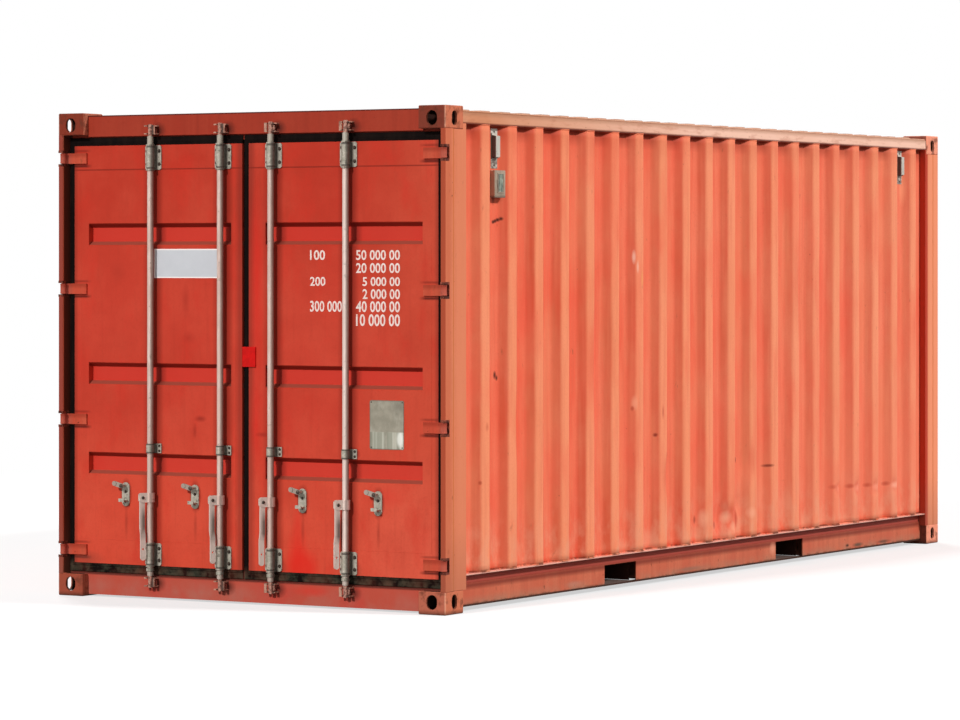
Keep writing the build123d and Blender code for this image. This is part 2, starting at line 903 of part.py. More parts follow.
# Doors: each leaf is a tube frame round a ribbed sheet
rib_margins = {1: left_rib_margin, -1: right_rib_margin}
rib_outer_end = leaf_outer_edge - rib_outer_margin
rib_heights = (
    leaf_bottom + first_rib_height,
    leaf_bottom + second_rib_height,
    leaf_top - top_rib_drop,
)
seal_centre = {1: 0, -1: seal_centre_reach}
hub_x = cos(radians(rod_turned_out))
hub_y = sin(radians(rod_turned_out))
hub_half_width = handle_thickness / 2 + handle_side_gap + hub_cheek
for side, name in door_names.items():
    inner_edge = leaf_inner_edges[side]
    stile_inner = inner_edge + stile_width
    stile_outer = leaf_outer_edge - stile_width
    leaf_back_x = leaf_face_x + leaf_thickness

    with BuildPart() as door_frame:
        for low, high in ((inner_edge, stile_inner), (stile_outer, leaf_outer_edge)):
            with BuildSketch(Plane.XY.offset(leaf_bottom)):
                outline(
                    [
                        (leaf_face_x, side * low),
                        (leaf_back_x, side * low),
                        (leaf_back_x, side * high),
                        (leaf_face_x, side * high),
                    ]
                )
                offset(amount=-leaf_tube_wall, mode=Mode.SUBTRACT)
            extrude(amount=leaf_top - leaf_bottom)
        rail_middle = (stile_inner + stile_outer) / 2
        for low, high in (
            (leaf_bottom, leaf_bottom + leaf_rail_height),
            (leaf_top - leaf_rail_height, leaf_top),
        ):
            with BuildSketch(Plane.XZ.offset(-side * rail_middle)):
                outline(
                    [
                        (leaf_back_x, low),
                        (leaf_face_x, low),
                        (leaf_face_x, high),
                        (leaf_back_x, high),
                        (leaf_back_x, high - leaf_tube_wall),
                        (leaf_face_x + leaf_tube_wall, high - leaf_tube_wall),
                        (leaf_face_x + leaf_tube_wall, low + leaf_tube_wall),
                        (leaf_back_x, low + leaf_tube_wall),
                    ]
                )
            extrude(amount=(stile_outer - stile_inner) / 2, both=True)
    export_piece(door_frame, f"{name}_door_frame")

    panel_low = leaf_bottom + leaf_rail_height
    panel_high = leaf_top - leaf_rail_height
    rib_inner_end = inner_edge + rib_margins[side]
    rib_length = rib_outer_end - rib_inner_end
    rib_middle_y = side * (rib_outer_end + rib_inner_end) / 2
    rib_half = door_rib_height / 2
    rib_back_x = leaf_face_x + sheet_steel + door_rib_depth
    rib_wall = sheet_steel / cos(atan2(door_rib_slope, door_rib_depth))
    rib_lean = sheet_steel * door_rib_slope / door_rib_depth
    rib_shapes = (
        (
            Mode.ADD,
            rib_length / 2,
            (leaf_face_x + sheet_steel, rib_half),
            (rib_back_x, rib_half - door_rib_slope),
        ),
        (
            Mode.SUBTRACT,
            rib_length / 2 - sheet_steel,
            (leaf_face_x, rib_half - rib_wall + rib_lean),
            (rib_back_x - sheet_steel, rib_half - rib_wall - door_rib_slope + rib_lean),
        ),
    )
    with BuildPart() as door_panel:
        plate(
            (leaf_face_x, min(side * stile_inner, side * stile_outer), panel_low),
            (
                leaf_face_x + sheet_steel,
                max(side * stile_inner, side * stile_outer),
                panel_high,
            ),
        )
        for mode, reach, mouth, bottom in rib_shapes:
            for rib_z in rib_heights:
                with BuildSketch(Plane.XZ.offset(-rib_middle_y)):
                    outline(
                        [
                            (mouth[0], rib_z - mouth[1]),
                            (bottom[0], rib_z - bottom[1]),
                            (bottom[0], rib_z + bottom[1]),
                            (mouth[0], rib_z + mouth[1]),
                        ]
                    )
                extrude(amount=reach, both=True, mode=mode)
    export_piece(door_panel, f"{name}_door_panel")

    seal_inner = inner_edge - seal_centre[side]
    seal_outer = side_face - seal_reach
    seal_low = sill_top + seal_frame_gap
    seal_high = header_bottom - seal_frame_gap
    seal_lip_x = leaf_face_x + seal_lip_behind_face
    seal_back = door_end + stop_inset - seal_rest_gap
    bead_inner = inner_edge - min(seal_bead, seal_centre[side])
    with BuildPart() as door_seal:
        plate(
            (seal_lip_x, min(side * seal_inner, side * seal_outer), seal_low),
            (seal_back, max(side * seal_inner, side * seal_outer), seal_high),
        )
        plate(
            (
                leaf_face_x + seal_bead_behind_face,
                min(side * bead_inner, side * (leaf_outer_edge + seal_bead)),
                leaf_bottom - seal_bead,
            ),
            (
                seal_lip_x,
                max(side * bead_inner, side * (leaf_outer_edge + seal_bead)),
                leaf_top + seal_bead,
            ),
        )
        plate(
            (
                leaf_face_x + seal_bead_behind_face,
                min(side * inner_edge, side * leaf_outer_edge),
                leaf_bottom,
            ),
            (seal_back, max(side * inner_edge, side * leaf_outer_edge), leaf_top),
            mode=Mode.SUBTRACT,
        )
    export_piece(door_seal, f"{name}_door_seal")

    blade_inner_inset = leaf_side_inset + blade_reach
    blade_neck = [
        (
            hinge_pin_depth + knuckle_radius * cos(radians(angle)),
            hinge_pin_inset + knuckle_radius * sin(radians(angle)),
        )
        for angle in blade_neck_angles
    ]
    blade_outline = [
        (door_face_inset, blade_inner_inset),
        (door_face_inset - blade_thickness, blade_inner_inset),
        (door_face_inset - blade_thickness, blade_bend_inset),
        blade_neck[0],
        (hinge_pin_depth, hinge_pin_inset),
        blade_neck[1],
        (door_face_inset, blade_bend_inset),
    ]
    with BuildPart() as hinge_blades:
        for hinge_z in hinge_heights:
            with BuildSketch(Plane.XY.offset(hinge_z - knuckle_height / 2)):
                outline([plan(*point, side) for point in blade_outline])
                with Locations(plan(hinge_pin_depth, hinge_pin_inset, side)):
                    Circle(knuckle_radius)
                    Circle(hinge_pin_radius + hinge_bore_gap, mode=Mode.SUBTRACT)
            extrude(amount=knuckle_height)
    export_piece(hinge_blades, f"{name}_hinge_blades")

    bracket_spans = (
        (leaf_bottom + bracket_leaf_margin, lower_bracket_height),
        (leaf_top - bracket_leaf_margin - upper_bracket_height, upper_bracket_height),
    )
    guide_low = leaf_bottom + guide_above_leaf_bottom - guide_height / 2
    with BuildPart() as rod_brackets:
        for rod_name, rod_y in rod_positions.items():
            if not rod_name.startswith(name):
                continue
            for low, tall in bracket_spans:
                with BuildSketch(Plane.YZ.offset(leaf_face_x)) as bracket_face:
                    with Locations((rod_y, low + tall / 2)):
                        Rectangle(bracket_width, tall)
                    chamfer(bracket_face.vertices(), bracket_corner)
                extrude(amount=-bracket_plate)
                with BuildSketch(Plane.XY.offset(low + bracket_sleeve_margin)):
                    with Locations((rod_x, rod_y)):
                        Circle(bracket_sleeve_radius)
                    with Locations(((rod_x + leaf_face_x) / 2, rod_y)):
                        Rectangle(leaf_face_x - rod_x, bracket_web)
                extrude(amount=tall - 2 * bracket_sleeve_margin)
            with BuildSketch(Plane.XY.offset(guide_low)):
                with Locations((rod_x, rod_y)):
                    Circle(bracket_sleeve_radius)
                with Locations(((rod_x + leaf_face_x) / 2, rod_y)):
                    Rectangle(leaf_face_x - rod_x, bracket_web)
                outline(
                    [
                        (leaf_face_x, rod_y),
                        (leaf_face_x, rod_y - bracket_width / 2),
                        (leaf_face_x - bracket_plate, rod_y - bracket_width / 2),
                        (leaf_face_x - bracket_plate, rod_y),
                    ]
                )
            extrude(amount=guide_height)
            with Locations((rod_x, rod_y, height / 2)):
                Cylinder(rod_radius + rod_bore_gap, height, mode=Mode.SUBTRACT)
    export_piece(rod_brackets, f"{name}_rod_brackets")

    retainer_low = hub_height - retainer_below_handle
    retainer_height = retainer_below_handle + retainer_above_handle
    seat_top = hub_height - handle_width / 2 - seat_gap
    lip_back = handle_thickness / 2 + seat_lip_clear
    seat_outline = [
        (leaf_face_x - retainer_plate, seat_top - seat_thickness),
        (rod_x - lip_back - seat_lip_thickness, seat_top - seat_thickness),
        (rod_x - lip_back - seat_lip_thickness, seat_top + seat_lip_height),
        (rod_x - lip_back, seat_top + seat_lip_height),
        (rod_x - lip_back, seat_top),
        (leaf_face_x - retainer_plate, seat_top),
    ]
    with BuildPart() as handle_retainers:
        for rod_name, rod_y in rod_positions.items():
            if not rod_name.startswith(name):
                continue
            retainer_y = rod_y + side * retainer_distance
            with BuildSketch(Plane.YZ.offset(leaf_face_x)):
                with Locations((retainer_y, retainer_low + retainer_height / 2)):
                    SlotOverall(retainer_height, retainer_width, rotation=90)
                with Locations((retainer_y, retainer_low + retainer_width / 2)):
                    Circle(retainer_hole_radius, mode=Mode.SUBTRACT)
            extrude(amount=-retainer_plate)
            with BuildSketch(Plane.XZ.offset(-retainer_y)):
                outline(seat_outline)
            extrude(amount=seat_width / 2, both=True)
            with BuildSketch(Plane.YZ.offset(leaf_face_x - retainer_plate)):
                with Locations((retainer_y, catch_pivot_height)):
                    Circle(catch_pin_radius)
            extrude(amount=-(leaf_face_x - retainer_plate - rod_x + catch_knob_front))
    export_piece(handle_retainers, f"{name}_handle_retainers")

# Overlap plate: a block on the right leaf that covers the middle of the seal
with BuildPart() as door_overlap_plate:
    plate(
        (
            leaf_face_x - overlap_plate_thickness,
            -right_leaf_inner_edge - overlap_plate_on_leaf,
            (leaf_bottom + leaf_top - overlap_plate_height) / 2,
        ),
        (
            leaf_face_x,
            -right_leaf_inner_edge + seal_centre_reach + overlap_plate_past_seal,
            (leaf_bottom + leaf_top + overlap_plate_height) / 2,
        ),
    )
export_piece(door_overlap_plate, "door_overlap_plate")

# Lock rods, handles and catches, one set for each rod
rod_end = keeper_high + rod_end_above_keeper
rod_shoulder = keeper_low - 2 * lobe_gap
lobe_height = keeper_height - 2 * keeper_plate - 2 * lobe_gap
for rod_name, rod_y in rod_positions.items():
    side = 1 if rod_name.startswith("left") else -1
    lobe_angle = rod_turned_out - side * lobe_from_hub
    lobe_plane = Plane(
        origin=(rod_x, rod_y, keeper_low + keeper_plate + lobe_gap),
        x_dir=(cos(radians(lobe_angle)), sin(radians(lobe_angle)), 0),
    )
    rivet_point = (
        rod_x + rivet_distance * hub_x,
        rod_y + rivet_distance * hub_y,
        hub_height,
    )
    rivet_plane = Plane(origin=rivet_point, x_dir=(0, 0, 1), z_dir=(-hub_y, hub_x, 0))
    with BuildPart() as lock_rod:
        with BuildSketch(Plane.XY.offset(rod_end)):
            with Locations((rod_x, rod_y)):
                Circle(journal_radius)
        extrude(amount=-(rod_end - rod_shoulder))
        with BuildSketch(lobe_plane):
            outline(
                [
                    (0, -lobe_half_width),
                    (lobe_reach - lobe_tip, -lobe_half_width),
                    (lobe_reach, -lobe_half_width / 2),
                    (lobe_reach, lobe_half_width / 2),
                    (lobe_reach - lobe_tip, lobe_half_width),
                    (0, lobe_half_width),
                ]
            )
        extrude(amount=lobe_height)
        mirror(about=Plane.XY.offset(keeper_mirror))
        with BuildSketch(Plane.XY.offset(rod_shoulder)):
            with Locations((rod_x, rod_y)):
                Circle(rod_radius)
        extrude(amount=-2 * (rod_shoulder - keeper_mirror))
        with BuildSketch(rivet_plane) as hub_cheeks:
            with Locations((0, hub_reach / 2 - rivet_distance)):
                Rectangle(hub_collar_height, hub_reach)
            chamfer(hub_cheeks.vertices().group_by(Axis.Y)[-1], hub_corner)
        extrude(amount=hub_half_width, both=True)
        with BuildSketch(rivet_plane):
            with Locations((0, (hub_reach + hub_radius + hub_web) / 2 - rivet_distance)):
                Rectangle(hub_collar_height, hub_reach - hub_radius - hub_web)
        extrude(amount=handle_thickness / 2 + handle_side_gap, both=True, mode=Mode.SUBTRACT)
        with BuildSketch(Plane.XY.offset(hub_height - hub_collar_height / 2)):
            with Locations((rod_x, rod_y)):
                Circle(hub_radius)
        extrude(amount=hub_collar_height)
        with BuildSketch(rivet_plane):
            Circle(rivet_radius)
        extrude(amount=hub_half_width + rivet_head, both=True)
    export_piece(lock_rod, f"{rod_name}_lock_rod")

    handle_plane = Plane(
        origin=rivet_point, x_dir=(-hub_y, hub_x, 0), z_dir=(hub_x, hub_y, 0)
    )
    half = handle_thickness / 2
    crank = side * crank_offset
    crank_start = retainer_distance - crank_before_retainer
    crank_end = crank_start + crank_length
    with BuildPart() as handle:
        with BuildSketch(handle_plane):
            outline(
                [
                    (-half, handle_width / 2),
                    (-half, -crank_start),
                    (crank - half, -crank_end),
                    (crank - half, -handle_length),
                    (crank + half, -handle_length),
                    (crank + half, -crank_end),
                    (half, -crank_start),
                    (half, handle_width / 2),
                ]
            )
        extrude(amount=handle_width / 2, both=True)
        with BuildSketch(rivet_plane):
            with Locations((-(handle_length - handle_width / 2) / 2, 0)):
                SlotOverall(handle_length + handle_width / 2, handle_width)
        extrude(amount=2 * crank_offset, both=True, mode=Mode.INTERSECT)
        with BuildSketch(rivet_plane):
            Circle(rivet_radius + handle_bore_gap)
            with Locations((hasp_hole_from_end - handle_length, 0)):
                Circle(hasp_hole_radius)
        extrude(amount=handle_width, both=True, mode=Mode.SUBTRACT)
    export_piece(handle, f"{rod_name}_handle")

    retainer_y = rod_y + side * retainer_distance
    catch_back_x = rod_x - handle_thickness / 2 - seat_lip_clear
    arm_y = retainer_y + catch_arm * cos(radians(catch_rest_angle))
    arm_z = catch_pivot_height + catch_arm * sin(radians(catch_rest_angle))
    arm_middle = ((retainer_y + arm_y) / 2, (catch_pivot_height + arm_z) / 2)
    with BuildPart() as catch:
        with BuildSketch(Plane.YZ.offset(catch_back_x)):
            with Locations(arm_middle):
                SlotCenterToCenter(catch_arm, catch_width, rotation=catch_rest_angle)
        extrude(amount=-catch_thickness)
        with BuildSketch(Plane.YZ.offset(catch_back_x)):
            with Locations((arm_y, arm_z)):
                Circle(catch_knob_radius)
        extrude(amount=-(catch_knob_front - handle_thickness / 2 - seat_lip_clear))
        with BuildSketch(Plane.YZ.offset(catch_back_x)):
            with Locations((retainer_y, catch_pivot_height)):
                Circle(catch_pin_radius + catch_bore_gap)
        extrude(amount=-catch_thickness, mode=Mode.SUBTRACT)
    export_piece(catch, f"{rod_name}_catch")
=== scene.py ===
"""Looks of a twenty-foot steel shipping container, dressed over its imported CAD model."""

import functools
import json
import math

import bmesh
import bpy
from mathutils import Matrix, Vector


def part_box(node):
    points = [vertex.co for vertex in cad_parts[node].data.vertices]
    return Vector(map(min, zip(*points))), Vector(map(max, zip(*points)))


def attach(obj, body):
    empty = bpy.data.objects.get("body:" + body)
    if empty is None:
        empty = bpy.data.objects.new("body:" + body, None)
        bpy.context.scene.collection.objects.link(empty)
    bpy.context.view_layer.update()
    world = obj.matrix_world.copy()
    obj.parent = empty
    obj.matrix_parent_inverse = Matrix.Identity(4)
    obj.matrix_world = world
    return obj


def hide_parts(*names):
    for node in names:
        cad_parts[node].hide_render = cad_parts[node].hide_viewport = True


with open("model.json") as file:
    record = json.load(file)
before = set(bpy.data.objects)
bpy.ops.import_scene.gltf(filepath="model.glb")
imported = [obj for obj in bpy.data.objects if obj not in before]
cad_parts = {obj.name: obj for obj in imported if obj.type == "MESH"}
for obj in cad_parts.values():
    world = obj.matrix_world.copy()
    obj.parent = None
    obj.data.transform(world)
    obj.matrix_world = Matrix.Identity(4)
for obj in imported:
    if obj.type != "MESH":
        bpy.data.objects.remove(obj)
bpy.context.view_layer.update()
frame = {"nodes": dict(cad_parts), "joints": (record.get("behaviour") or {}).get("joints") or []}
nodes = frame["nodes"]
joints = {joint["name"]: joint for joint in frame["joints"]}
scene = bpy.context.scene
mm = 0.001

# Camera: a long lens at head height, about seventeen metres from the door end, so that
# both the doors and the long side show. The picture is cropped low, which the shift gives.
lens = bpy.data.cameras.new("camera")
lens.sensor_width = 36
lens.lens = 148.25
lens.shift_y = -0.1049
lens.clip_end = 300
camera = bpy.data.objects.new("camera", lens)
camera.location = (-20.154, -11.625, 1.807)
camera.rotation_euler = (math.radians(90), 0, math.radians(-59.217))
scene.collection.objects.link(camera)
scene.camera = camera
scene.view_settings.view_transform = "Standard"

# Studio: white paper on the floor that keeps a faint shadow and runs out to plain white,
# a white surround, and lamps: one on the doors and one on the long side, both high and
# clear, a weak one on the hidden sides and a weaker one beside the camera. The paper is
# grey to light that bounces off it, so that it doesn't wash the paint out.


def chip(code):
    """Linear colour of a paint chip given as an sRGB hex code."""
    parts = [int(code[place : place + 2], 16) / 255 for place in (1, 3, 5)]
    return tuple(
        part / 12.92 if part <= 0.04045 else ((part + 0.055) / 1.055) ** 2.4 for part in parts
    ) + (1,)


def add_node(tree, kind, inputs=None, **settings):
    """Add one node, with its settings, and its inputs set or linked."""
    node = tree.nodes.new(kind)
    for name, value in settings.items():
        setattr(node, name, value)
    for name, value in (inputs or {}).items():
        if isinstance(value, bpy.types.NodeSocket):
            tree.links.new(value, node.inputs[name])
        else:
            node.inputs[name].default_value = value
    return node


def looked_at(tree):
    """Whether a ray comes from the camera, straight, mirrored or through something clear."""
    rays = add_node(tree, "ShaderNodeLightPath").outputs
    seen = rays["Is Camera Ray"]
    for way in ("Is Glossy Ray", "Is Transmission Ray"):
        either = add_node(tree, "ShaderNodeMath", {0: seen, 1: rays[way]}, operation="MAXIMUM")
        seen = either.outputs[0]
    return seen


floor_reach = 120
shadow_kept = 0.40
paper_bounce, paper_white = 0.20, 0.90
white_from, white_to = 5.5, 11.0
surround_light = 0.24

floor_paper = bpy.data.materials.new("white studio paper")
floor_paper.use_nodes = True
paper = floor_paper.node_tree
paper_seen = looked_at(paper)
paper_place = add_node(paper, "ShaderNodeTexCoord").outputs["Object"]
paper_far = add_node(paper, "ShaderNodeVectorMath", {0: paper_place}, operation="LENGTH")
fade = {"Value": paper_far.outputs["Value"], "From Min": white_from, "From Max": white_to}
fade.update({"To Min": 1 - shadow_kept, "To Max": 1})
paper_fade = add_node(paper, "ShaderNodeMapRange", fade).outputs[0]
paper_glow = add_node(
    paper, "ShaderNodeMath", {0: paper_seen, 1: paper_fade}, operation="MULTIPLY"
)
tone = {"Value": paper_seen, "To Min": paper_bounce, "To Max": paper_white}
paper_tone = add_node(paper, "ShaderNodeMapRange", tone).outputs[0]
glow = add_node(paper, "ShaderNodeEmission", {"Color": (1, 1, 1, 1), "Strength": 1.0})
paper_shader = paper.nodes["Principled BSDF"]
paper_shader.inputs["Roughness"].default_value = 0.9
paper_shader.inputs["Specular IOR Level"].default_value = 0.0
paper.links.new(paper_tone, paper_shader.inputs["Base Color"])
shares = {0: paper_glow.outputs[0], 1: paper_shader.outputs[0], 2: glow.outputs[0]}
paper_mix = add_node(paper, "ShaderNodeMixShader", shares).outputs[0]
paper.links.new(paper_mix, paper.nodes["Material Output"].inputs[0])

floor_shape = bmesh.new()
bmesh.ops.create_grid(floor_shape, x_segments=1, y_segments=1, size=floor_reach)
bmesh.ops.translate(floor_shape, verts=floor_shape.verts, vec=(0, 0, -1 * mm))
floor_mesh = bpy.data.meshes.new("studio_floor")
floor_shape.to_mesh(floor_mesh)
floor_shape.free()
floor_mesh.materials.append(floor_paper)
floor = bpy.data.objects.new("studio_floor", floor_mesh)
scene.collection.objects.link(floor)

surround = bpy.data.worlds.new("white surround")
surround.use_nodes = True
scene.world = surround
sky = surround.node_tree
level = {"Value": looked_at(sky), "To Min": surround_light, "To Max": 1.0}
sky_level = add_node(sky, "ShaderNodeMapRange", level).outputs[0]
sky.nodes["Background"].inputs["Color"].default_value = (1, 1, 1, 1)
sky.links.new(sky_level, sky.nodes["Background"].inputs["Strength"])

lamps = {
    "long_side_lamp": ((0.20, -0.78, 0.60), 2.60, 6),
    "door_lamp": ((-0.85, 0.10, 0.50), 2.50, 5),
    "back_lamp": ((0.60, 0.60, 0.45), 2.20, 20),
    "camera_side_lamp": ((-0.75, -0.60, 0.40), 0.30, 30),
}
for name, (towards, strength, softness) in lamps.items():
    lamp = bpy.data.lights.new(name, "SUN")
    lamp.energy = strength
    lamp.angle = math.radians(softness)
    lamp_object = bpy.data.objects.new(name, lamp)
    lamp_object.rotation_euler = Vector(towards).to_track_quat("Z", "Y").to_euler()
    scene.collection.objects.link(lamp_object)

# Bottom side rails: folded from 4 to 6 mm weathering steel and sprayed matt with the hull
# paint. Forks and rain wear them, so the paint is dull, muddy low down and rusty along the
# bottom edge.


class Finish:
    """One real finish: its material, and the colour and relief laid on it so far.

    Its axes give masks: along the container, across it, up, and aside from its middle plane.
    """

    def __init__(self, name, colour, roughness, metallic=0.0, shine=0.12):
        self.material = bpy.data.materials.new(name)
        self.material.use_nodes = True
        self.tree = self.material.node_tree
        self.shader = self.tree.nodes["Principled BSDF"]
        self.shader.inputs["Roughness"].default_value = roughness
        self.shader.inputs["Metallic"].default_value = metallic
        self.shader.inputs["Specular IOR Level"].default_value = shine
        self.place = add_node(self.tree, "ShaderNodeTexCoord").outputs["Object"]
        self.axes = add_node(self.tree, "ShaderNodeSeparateXYZ", {0: self.place}).outputs
        off = add_node(self.tree, "ShaderNodeMath", {0: self.axes[1]}, operation="ABSOLUTE")
        self.along, self.across, self.up, self.aside = [
            functools.partial(self.span, axis) for axis in (*self.axes, off.outputs[0])
        ]
        self.colour = chip(colour)
        self.normal = None
        self.roughness = roughness

    def span(self, place, start, end, blur=None):
        """Mask that grows from a start to an end or, given a blur, a soft strip between."""
        if blur is not None:
            middle, half = (start + end) / 2, (end - start) / 2
            off = add_node(self.tree, "ShaderNodeMath", {0: place, 1: middle}, operation="SUBTRACT")
            far = add_node(self.tree, "ShaderNodeMath", {0: off.outputs[0]}, operation="ABSOLUTE")
            place, start, end = far.outputs[0], half + blur / 2, half - blur / 2
        cut = {"Value": place, "From Min": start, "From Max": end}
        return add_node(self.tree, "ShaderNodeMapRange", cut).outputs[0]

    def patches(self, size, level=0.5, edge=0.08, stretch=(1, 1, 1), detail=4):
        """Mask of blotches of a size in metres, fewer as the level rises."""
        scale = {"Vector": self.place, "Scale": [share / size for share in stretch]}
        scaled = add_node(self.tree, "ShaderNodeMapping", scale).outputs[0]
        grain = {"Vector": scaled, "Scale": 1.0, "Detail": detail, "Roughness": 0.6}
        noise = add_node(self.tree, "ShaderNodeTexNoise", grain).outputs[0]
        return self.span(noise, level - edge, level + edge)

    def spot(self, centre, reach, edge):
        """Mask of an oval mark at a place on the object, soft towards its rim."""
        off = self.place
        for operation, by in (("SUBTRACT", centre), ("DIVIDE", reach)):
            step = add_node(self.tree, "ShaderNodeVectorMath", {0: off, 1: by}, operation=operation)
            off = step.outputs[0]
        far = add_node(self.tree, "ShaderNodeVectorMath", {0: off}, operation="LENGTH")
        return self.span(far.outputs["Value"], 1, 1 - edge)

    def where(self, *masks):
        """Mask of where all the masks say."""
        joined = masks[0]
        for mask in masks[1:]:
            both = add_node(self.tree, "ShaderNodeMath", {0: joined, 1: mask}, operation="MULTIPLY")
            joined = both.outputs[0]
        return joined

    def lay(self, colour, cover, *masks):
        """Lay a colour over what is there, where all the masks say."""
        mix = {0: self.where(*masks, cover), 6: self.colour, 7: chip(colour)}
        self.colour = add_node(self.tree, "ShaderNodeMix", mix, data_type="RGBA").outputs[2]

    def raise_up(self, mask, depth):
        """Stand the surface up by a depth in metres where the mask says."""
        inputs = {"Height": mask, "Distance": depth, "Strength": 1.0}
        if self.normal:
            inputs["Normal"] = self.normal
        self.normal = add_node(self.tree, "ShaderNodeBump", inputs).outputs[0]

    def dull(self, mask, roughness):
        """Change the roughness where the mask says."""
        mix = {0: mask, 2: self.roughness, 3: roughness}
        self.roughness = add_node(self.tree, "ShaderNodeMix", mix).outputs[0]

    def cure(self):
        """Join the colour, relief and roughness to the shader, and give the material."""
        values = {"Base Color": self.colour, "Normal": self.normal, "Roughness": self.roughness}
        for name, value in values.items():
            if isinstance(value, bpy.types.NodeSocket):
                self.tree.links.new(value, self.shader.inputs[name])
            elif name == "Base Color":
                self.shader.inputs[name].default_value = value
        return self.material


def dress(finish_material, *names):
    """Give CAD pieces a finish."""
    for name in names:
        piece = nodes[name]
        if not piece.material_slots:
            piece.data.materials.append(finish_material)
        for slot in piece.material_slots:
            slot.material = finish_material


def add_piece(name, shape, material, body):
    """Make a piece from a bmesh, and give it its material and body."""
    mesh = bpy.data.meshes.new(name)
    shape.to_mesh(mesh)
    shape.free()
    mesh.materials.append(material)
    piece = bpy.data.objects.new(name, mesh)
    scene.collection.objects.link(piece)
    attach(piece, body)
    return piece


def age(coat, streaks, chalk, rust=0.70, cover=0.3):
    """Give a sprayed hull paint its chalking, rain streaks, scratches and rust specks."""
    coat.lay(chalk, cover, coat.patches(0.6, 0.53, 0.16))
    coat.lay(chalk, cover * 0.7, coat.patches(0.05, 0.57, 0.1, (1, 1, 0.05)))
    coat.lay(streaks, cover * 0.8, coat.patches(0.045, 0.57, 0.1, (1, 1, 0.07)))
    coat.lay(streaks, 0.14, coat.patches(0.012, 0.56, 0.12))
    specks = coat.patches(0.022, rust, 0.03, (1, 1, 0.7), 6)
    coat.lay("#84452a", 0.45, coat.patches(0.03, rust - 0.03, 0.04, (1, 1, 0.4), 6))
    coat.lay("#3f2318", 0.8, specks)
    coat.dull(specks, 0.9)
    coat.raise_up(coat.patches(0.006, 0.5, 0.3), 0.25 * mm)
    coat.raise_up(coat.patches(0.5, 0.5, 0.3), 2.5 * mm)


rail_step, rail_flange, rail_top = 141 * mm, 188 * mm, 205 * mm
coat = Finish("muddied hull paint on weathering steel", "#cc6549", 0.62)
age(coat, "#a04a35", "#dd8a68")
coat.lay("#c0513c", 0.4, coat.patches(0.25, 0.55, 0.1))
coat.lay("#9c7d66", 0.65, coat.up(80 * mm, 30 * mm), coat.patches(0.12, 0.46, 0.15))
# The web between the step and the flange is painted darker, and darker still just under the flange:
# painted shade under the flange. The step gets a dark line, a painted shadow, and the flange's lip
# a pale strip, a painted highlight.
coat.lay("#ad4a3e", 0.9, coat.up(rail_step, rail_flange, 8 * mm))
coat.lay("#6a2018", 0.75, coat.up(rail_step - 26 * mm, rail_step + 3 * mm, 22 * mm))
coat.lay("#4a1510", 0.6, coat.up(rail_flange - 20 * mm, rail_flange))
coat.lay("#f4b5a2", 0.9, coat.up(rail_flange, rail_top, 3 * mm))
# The rail's foot, up to about 35 mm, is painted near-black: painted shade under its lower edge.
coat.lay("#210e09", 0.95, coat.up(37 * mm, 32 * mm))
foot_rust = coat.where(coat.up(46 * mm, 28 * mm), coat.patches(0.05, 0.52, 0.08))
coat.lay("#4e2f22", 0.9, foot_rust)
# Scraped places on the right rail: place along, height, reach along and up, colour, cover.
for along, up, wide, tall, colour, cover in (
    (1.93, 0.052, 0.09, 0.016, "#5b4a3c", 0.9),
    (1.78, 0.056, 0.03, 0.012, "#2b1a14", 0.9),
    (2.30, 0.050, 0.12, 0.012, "#4a3328", 0.7),
    (-0.30, 0.052, 0.20, 0.016, "#8c6a58", 0.6),
    (-1.62, 0.060, 0.10, 0.020, "#c08a76", 0.4),
    (0.76, 0.100, 0.05, 0.045, "#e79b7c", 0.7),
):
    coat.lay(colour, cover, coat.spot((along, -1.175, up), (wide, 0.03, tall), 0.7))
coat.dull(foot_rust, 0.9)
dress(coat.cure(), "bottom_side_rails")

# Hidden floor steel: the same paint, never washed, so it stays darker and dusty. The fork
# pockets are scraped to brown steel, painted near-black as painted shade deep inside them.
coat = Finish("dusty hull paint under the floor", "#a24a36", 0.75)
age(coat, "#6e3a2c", "#a87f6b", 0.66)
coat.lay("#7c6a5d", 0.4, coat.patches(0.15, 0.5, 0.2))
dress(coat.cure(), "cross_members")
coat = Finish("scraped steel inside the fork pockets", "#33160f", 0.8)
coat.lay("#4d2a1d", 0.5, coat.patches(0.06, 0.52, 0.1, (1, 0.2, 1)))
coat.lay("#1c0d09", 0.6, coat.patches(0.15, 0.5, 0.2))
dress(coat.cure(), "fork_pocket_tunnels")

# Fork pocket straps: 6.5 mm plates across the mouths of the tunnels, welded to the rails,
# which the forks polish and rain keeps muddy grey.


def block(shape, size, middle):
    """Add a block of a size about its middle."""
    corners = bmesh.ops.create_cube(shape, size=1)["verts"]
    bmesh.ops.scale(shape, verts=corners, vec=size)
    bmesh.ops.translate(shape, verts=corners, vec=middle)


def round_off(shape, parts, radius, segments, affect="EDGES"):
    """Round edges, or the corners of a sheet, off."""
    bmesh.ops.bevel(
        shape,
        geom=parts,
        offset=radius,
        offset_type="OFFSET",
        segments=segments,
        profile=0.5,
        affect=affect,
        material=-1,
    )


pocket_middles = (-1.105, 0.980)
strap_size = (358 * mm, 345 * mm, 6.5 * mm)
strap_outer, strap_height = 1173.5 * mm, 27.75 * mm
coat = Finish("muddy plate of the fork pocket straps", "#75605a", 0.85)
coat.lay("#4a352c", 0.6, coat.patches(0.06, 0.5, 0.12))
coat.lay("#9a8b80", 0.4, coat.patches(0.03, 0.6, 0.08, (1, 0.2, 1)))
straps = bmesh.new()
for middle in pocket_middles:
    for side in (-1, 1):
        across = side * (strap_outer - strap_size[1] / 2)
        block(straps, strap_size, (middle, across, strap_height))
round_off(straps, straps.edges[:], 1.2 * mm, 2)
add_piece("fork_pocket_straps", straps, coat.cure(), "container")

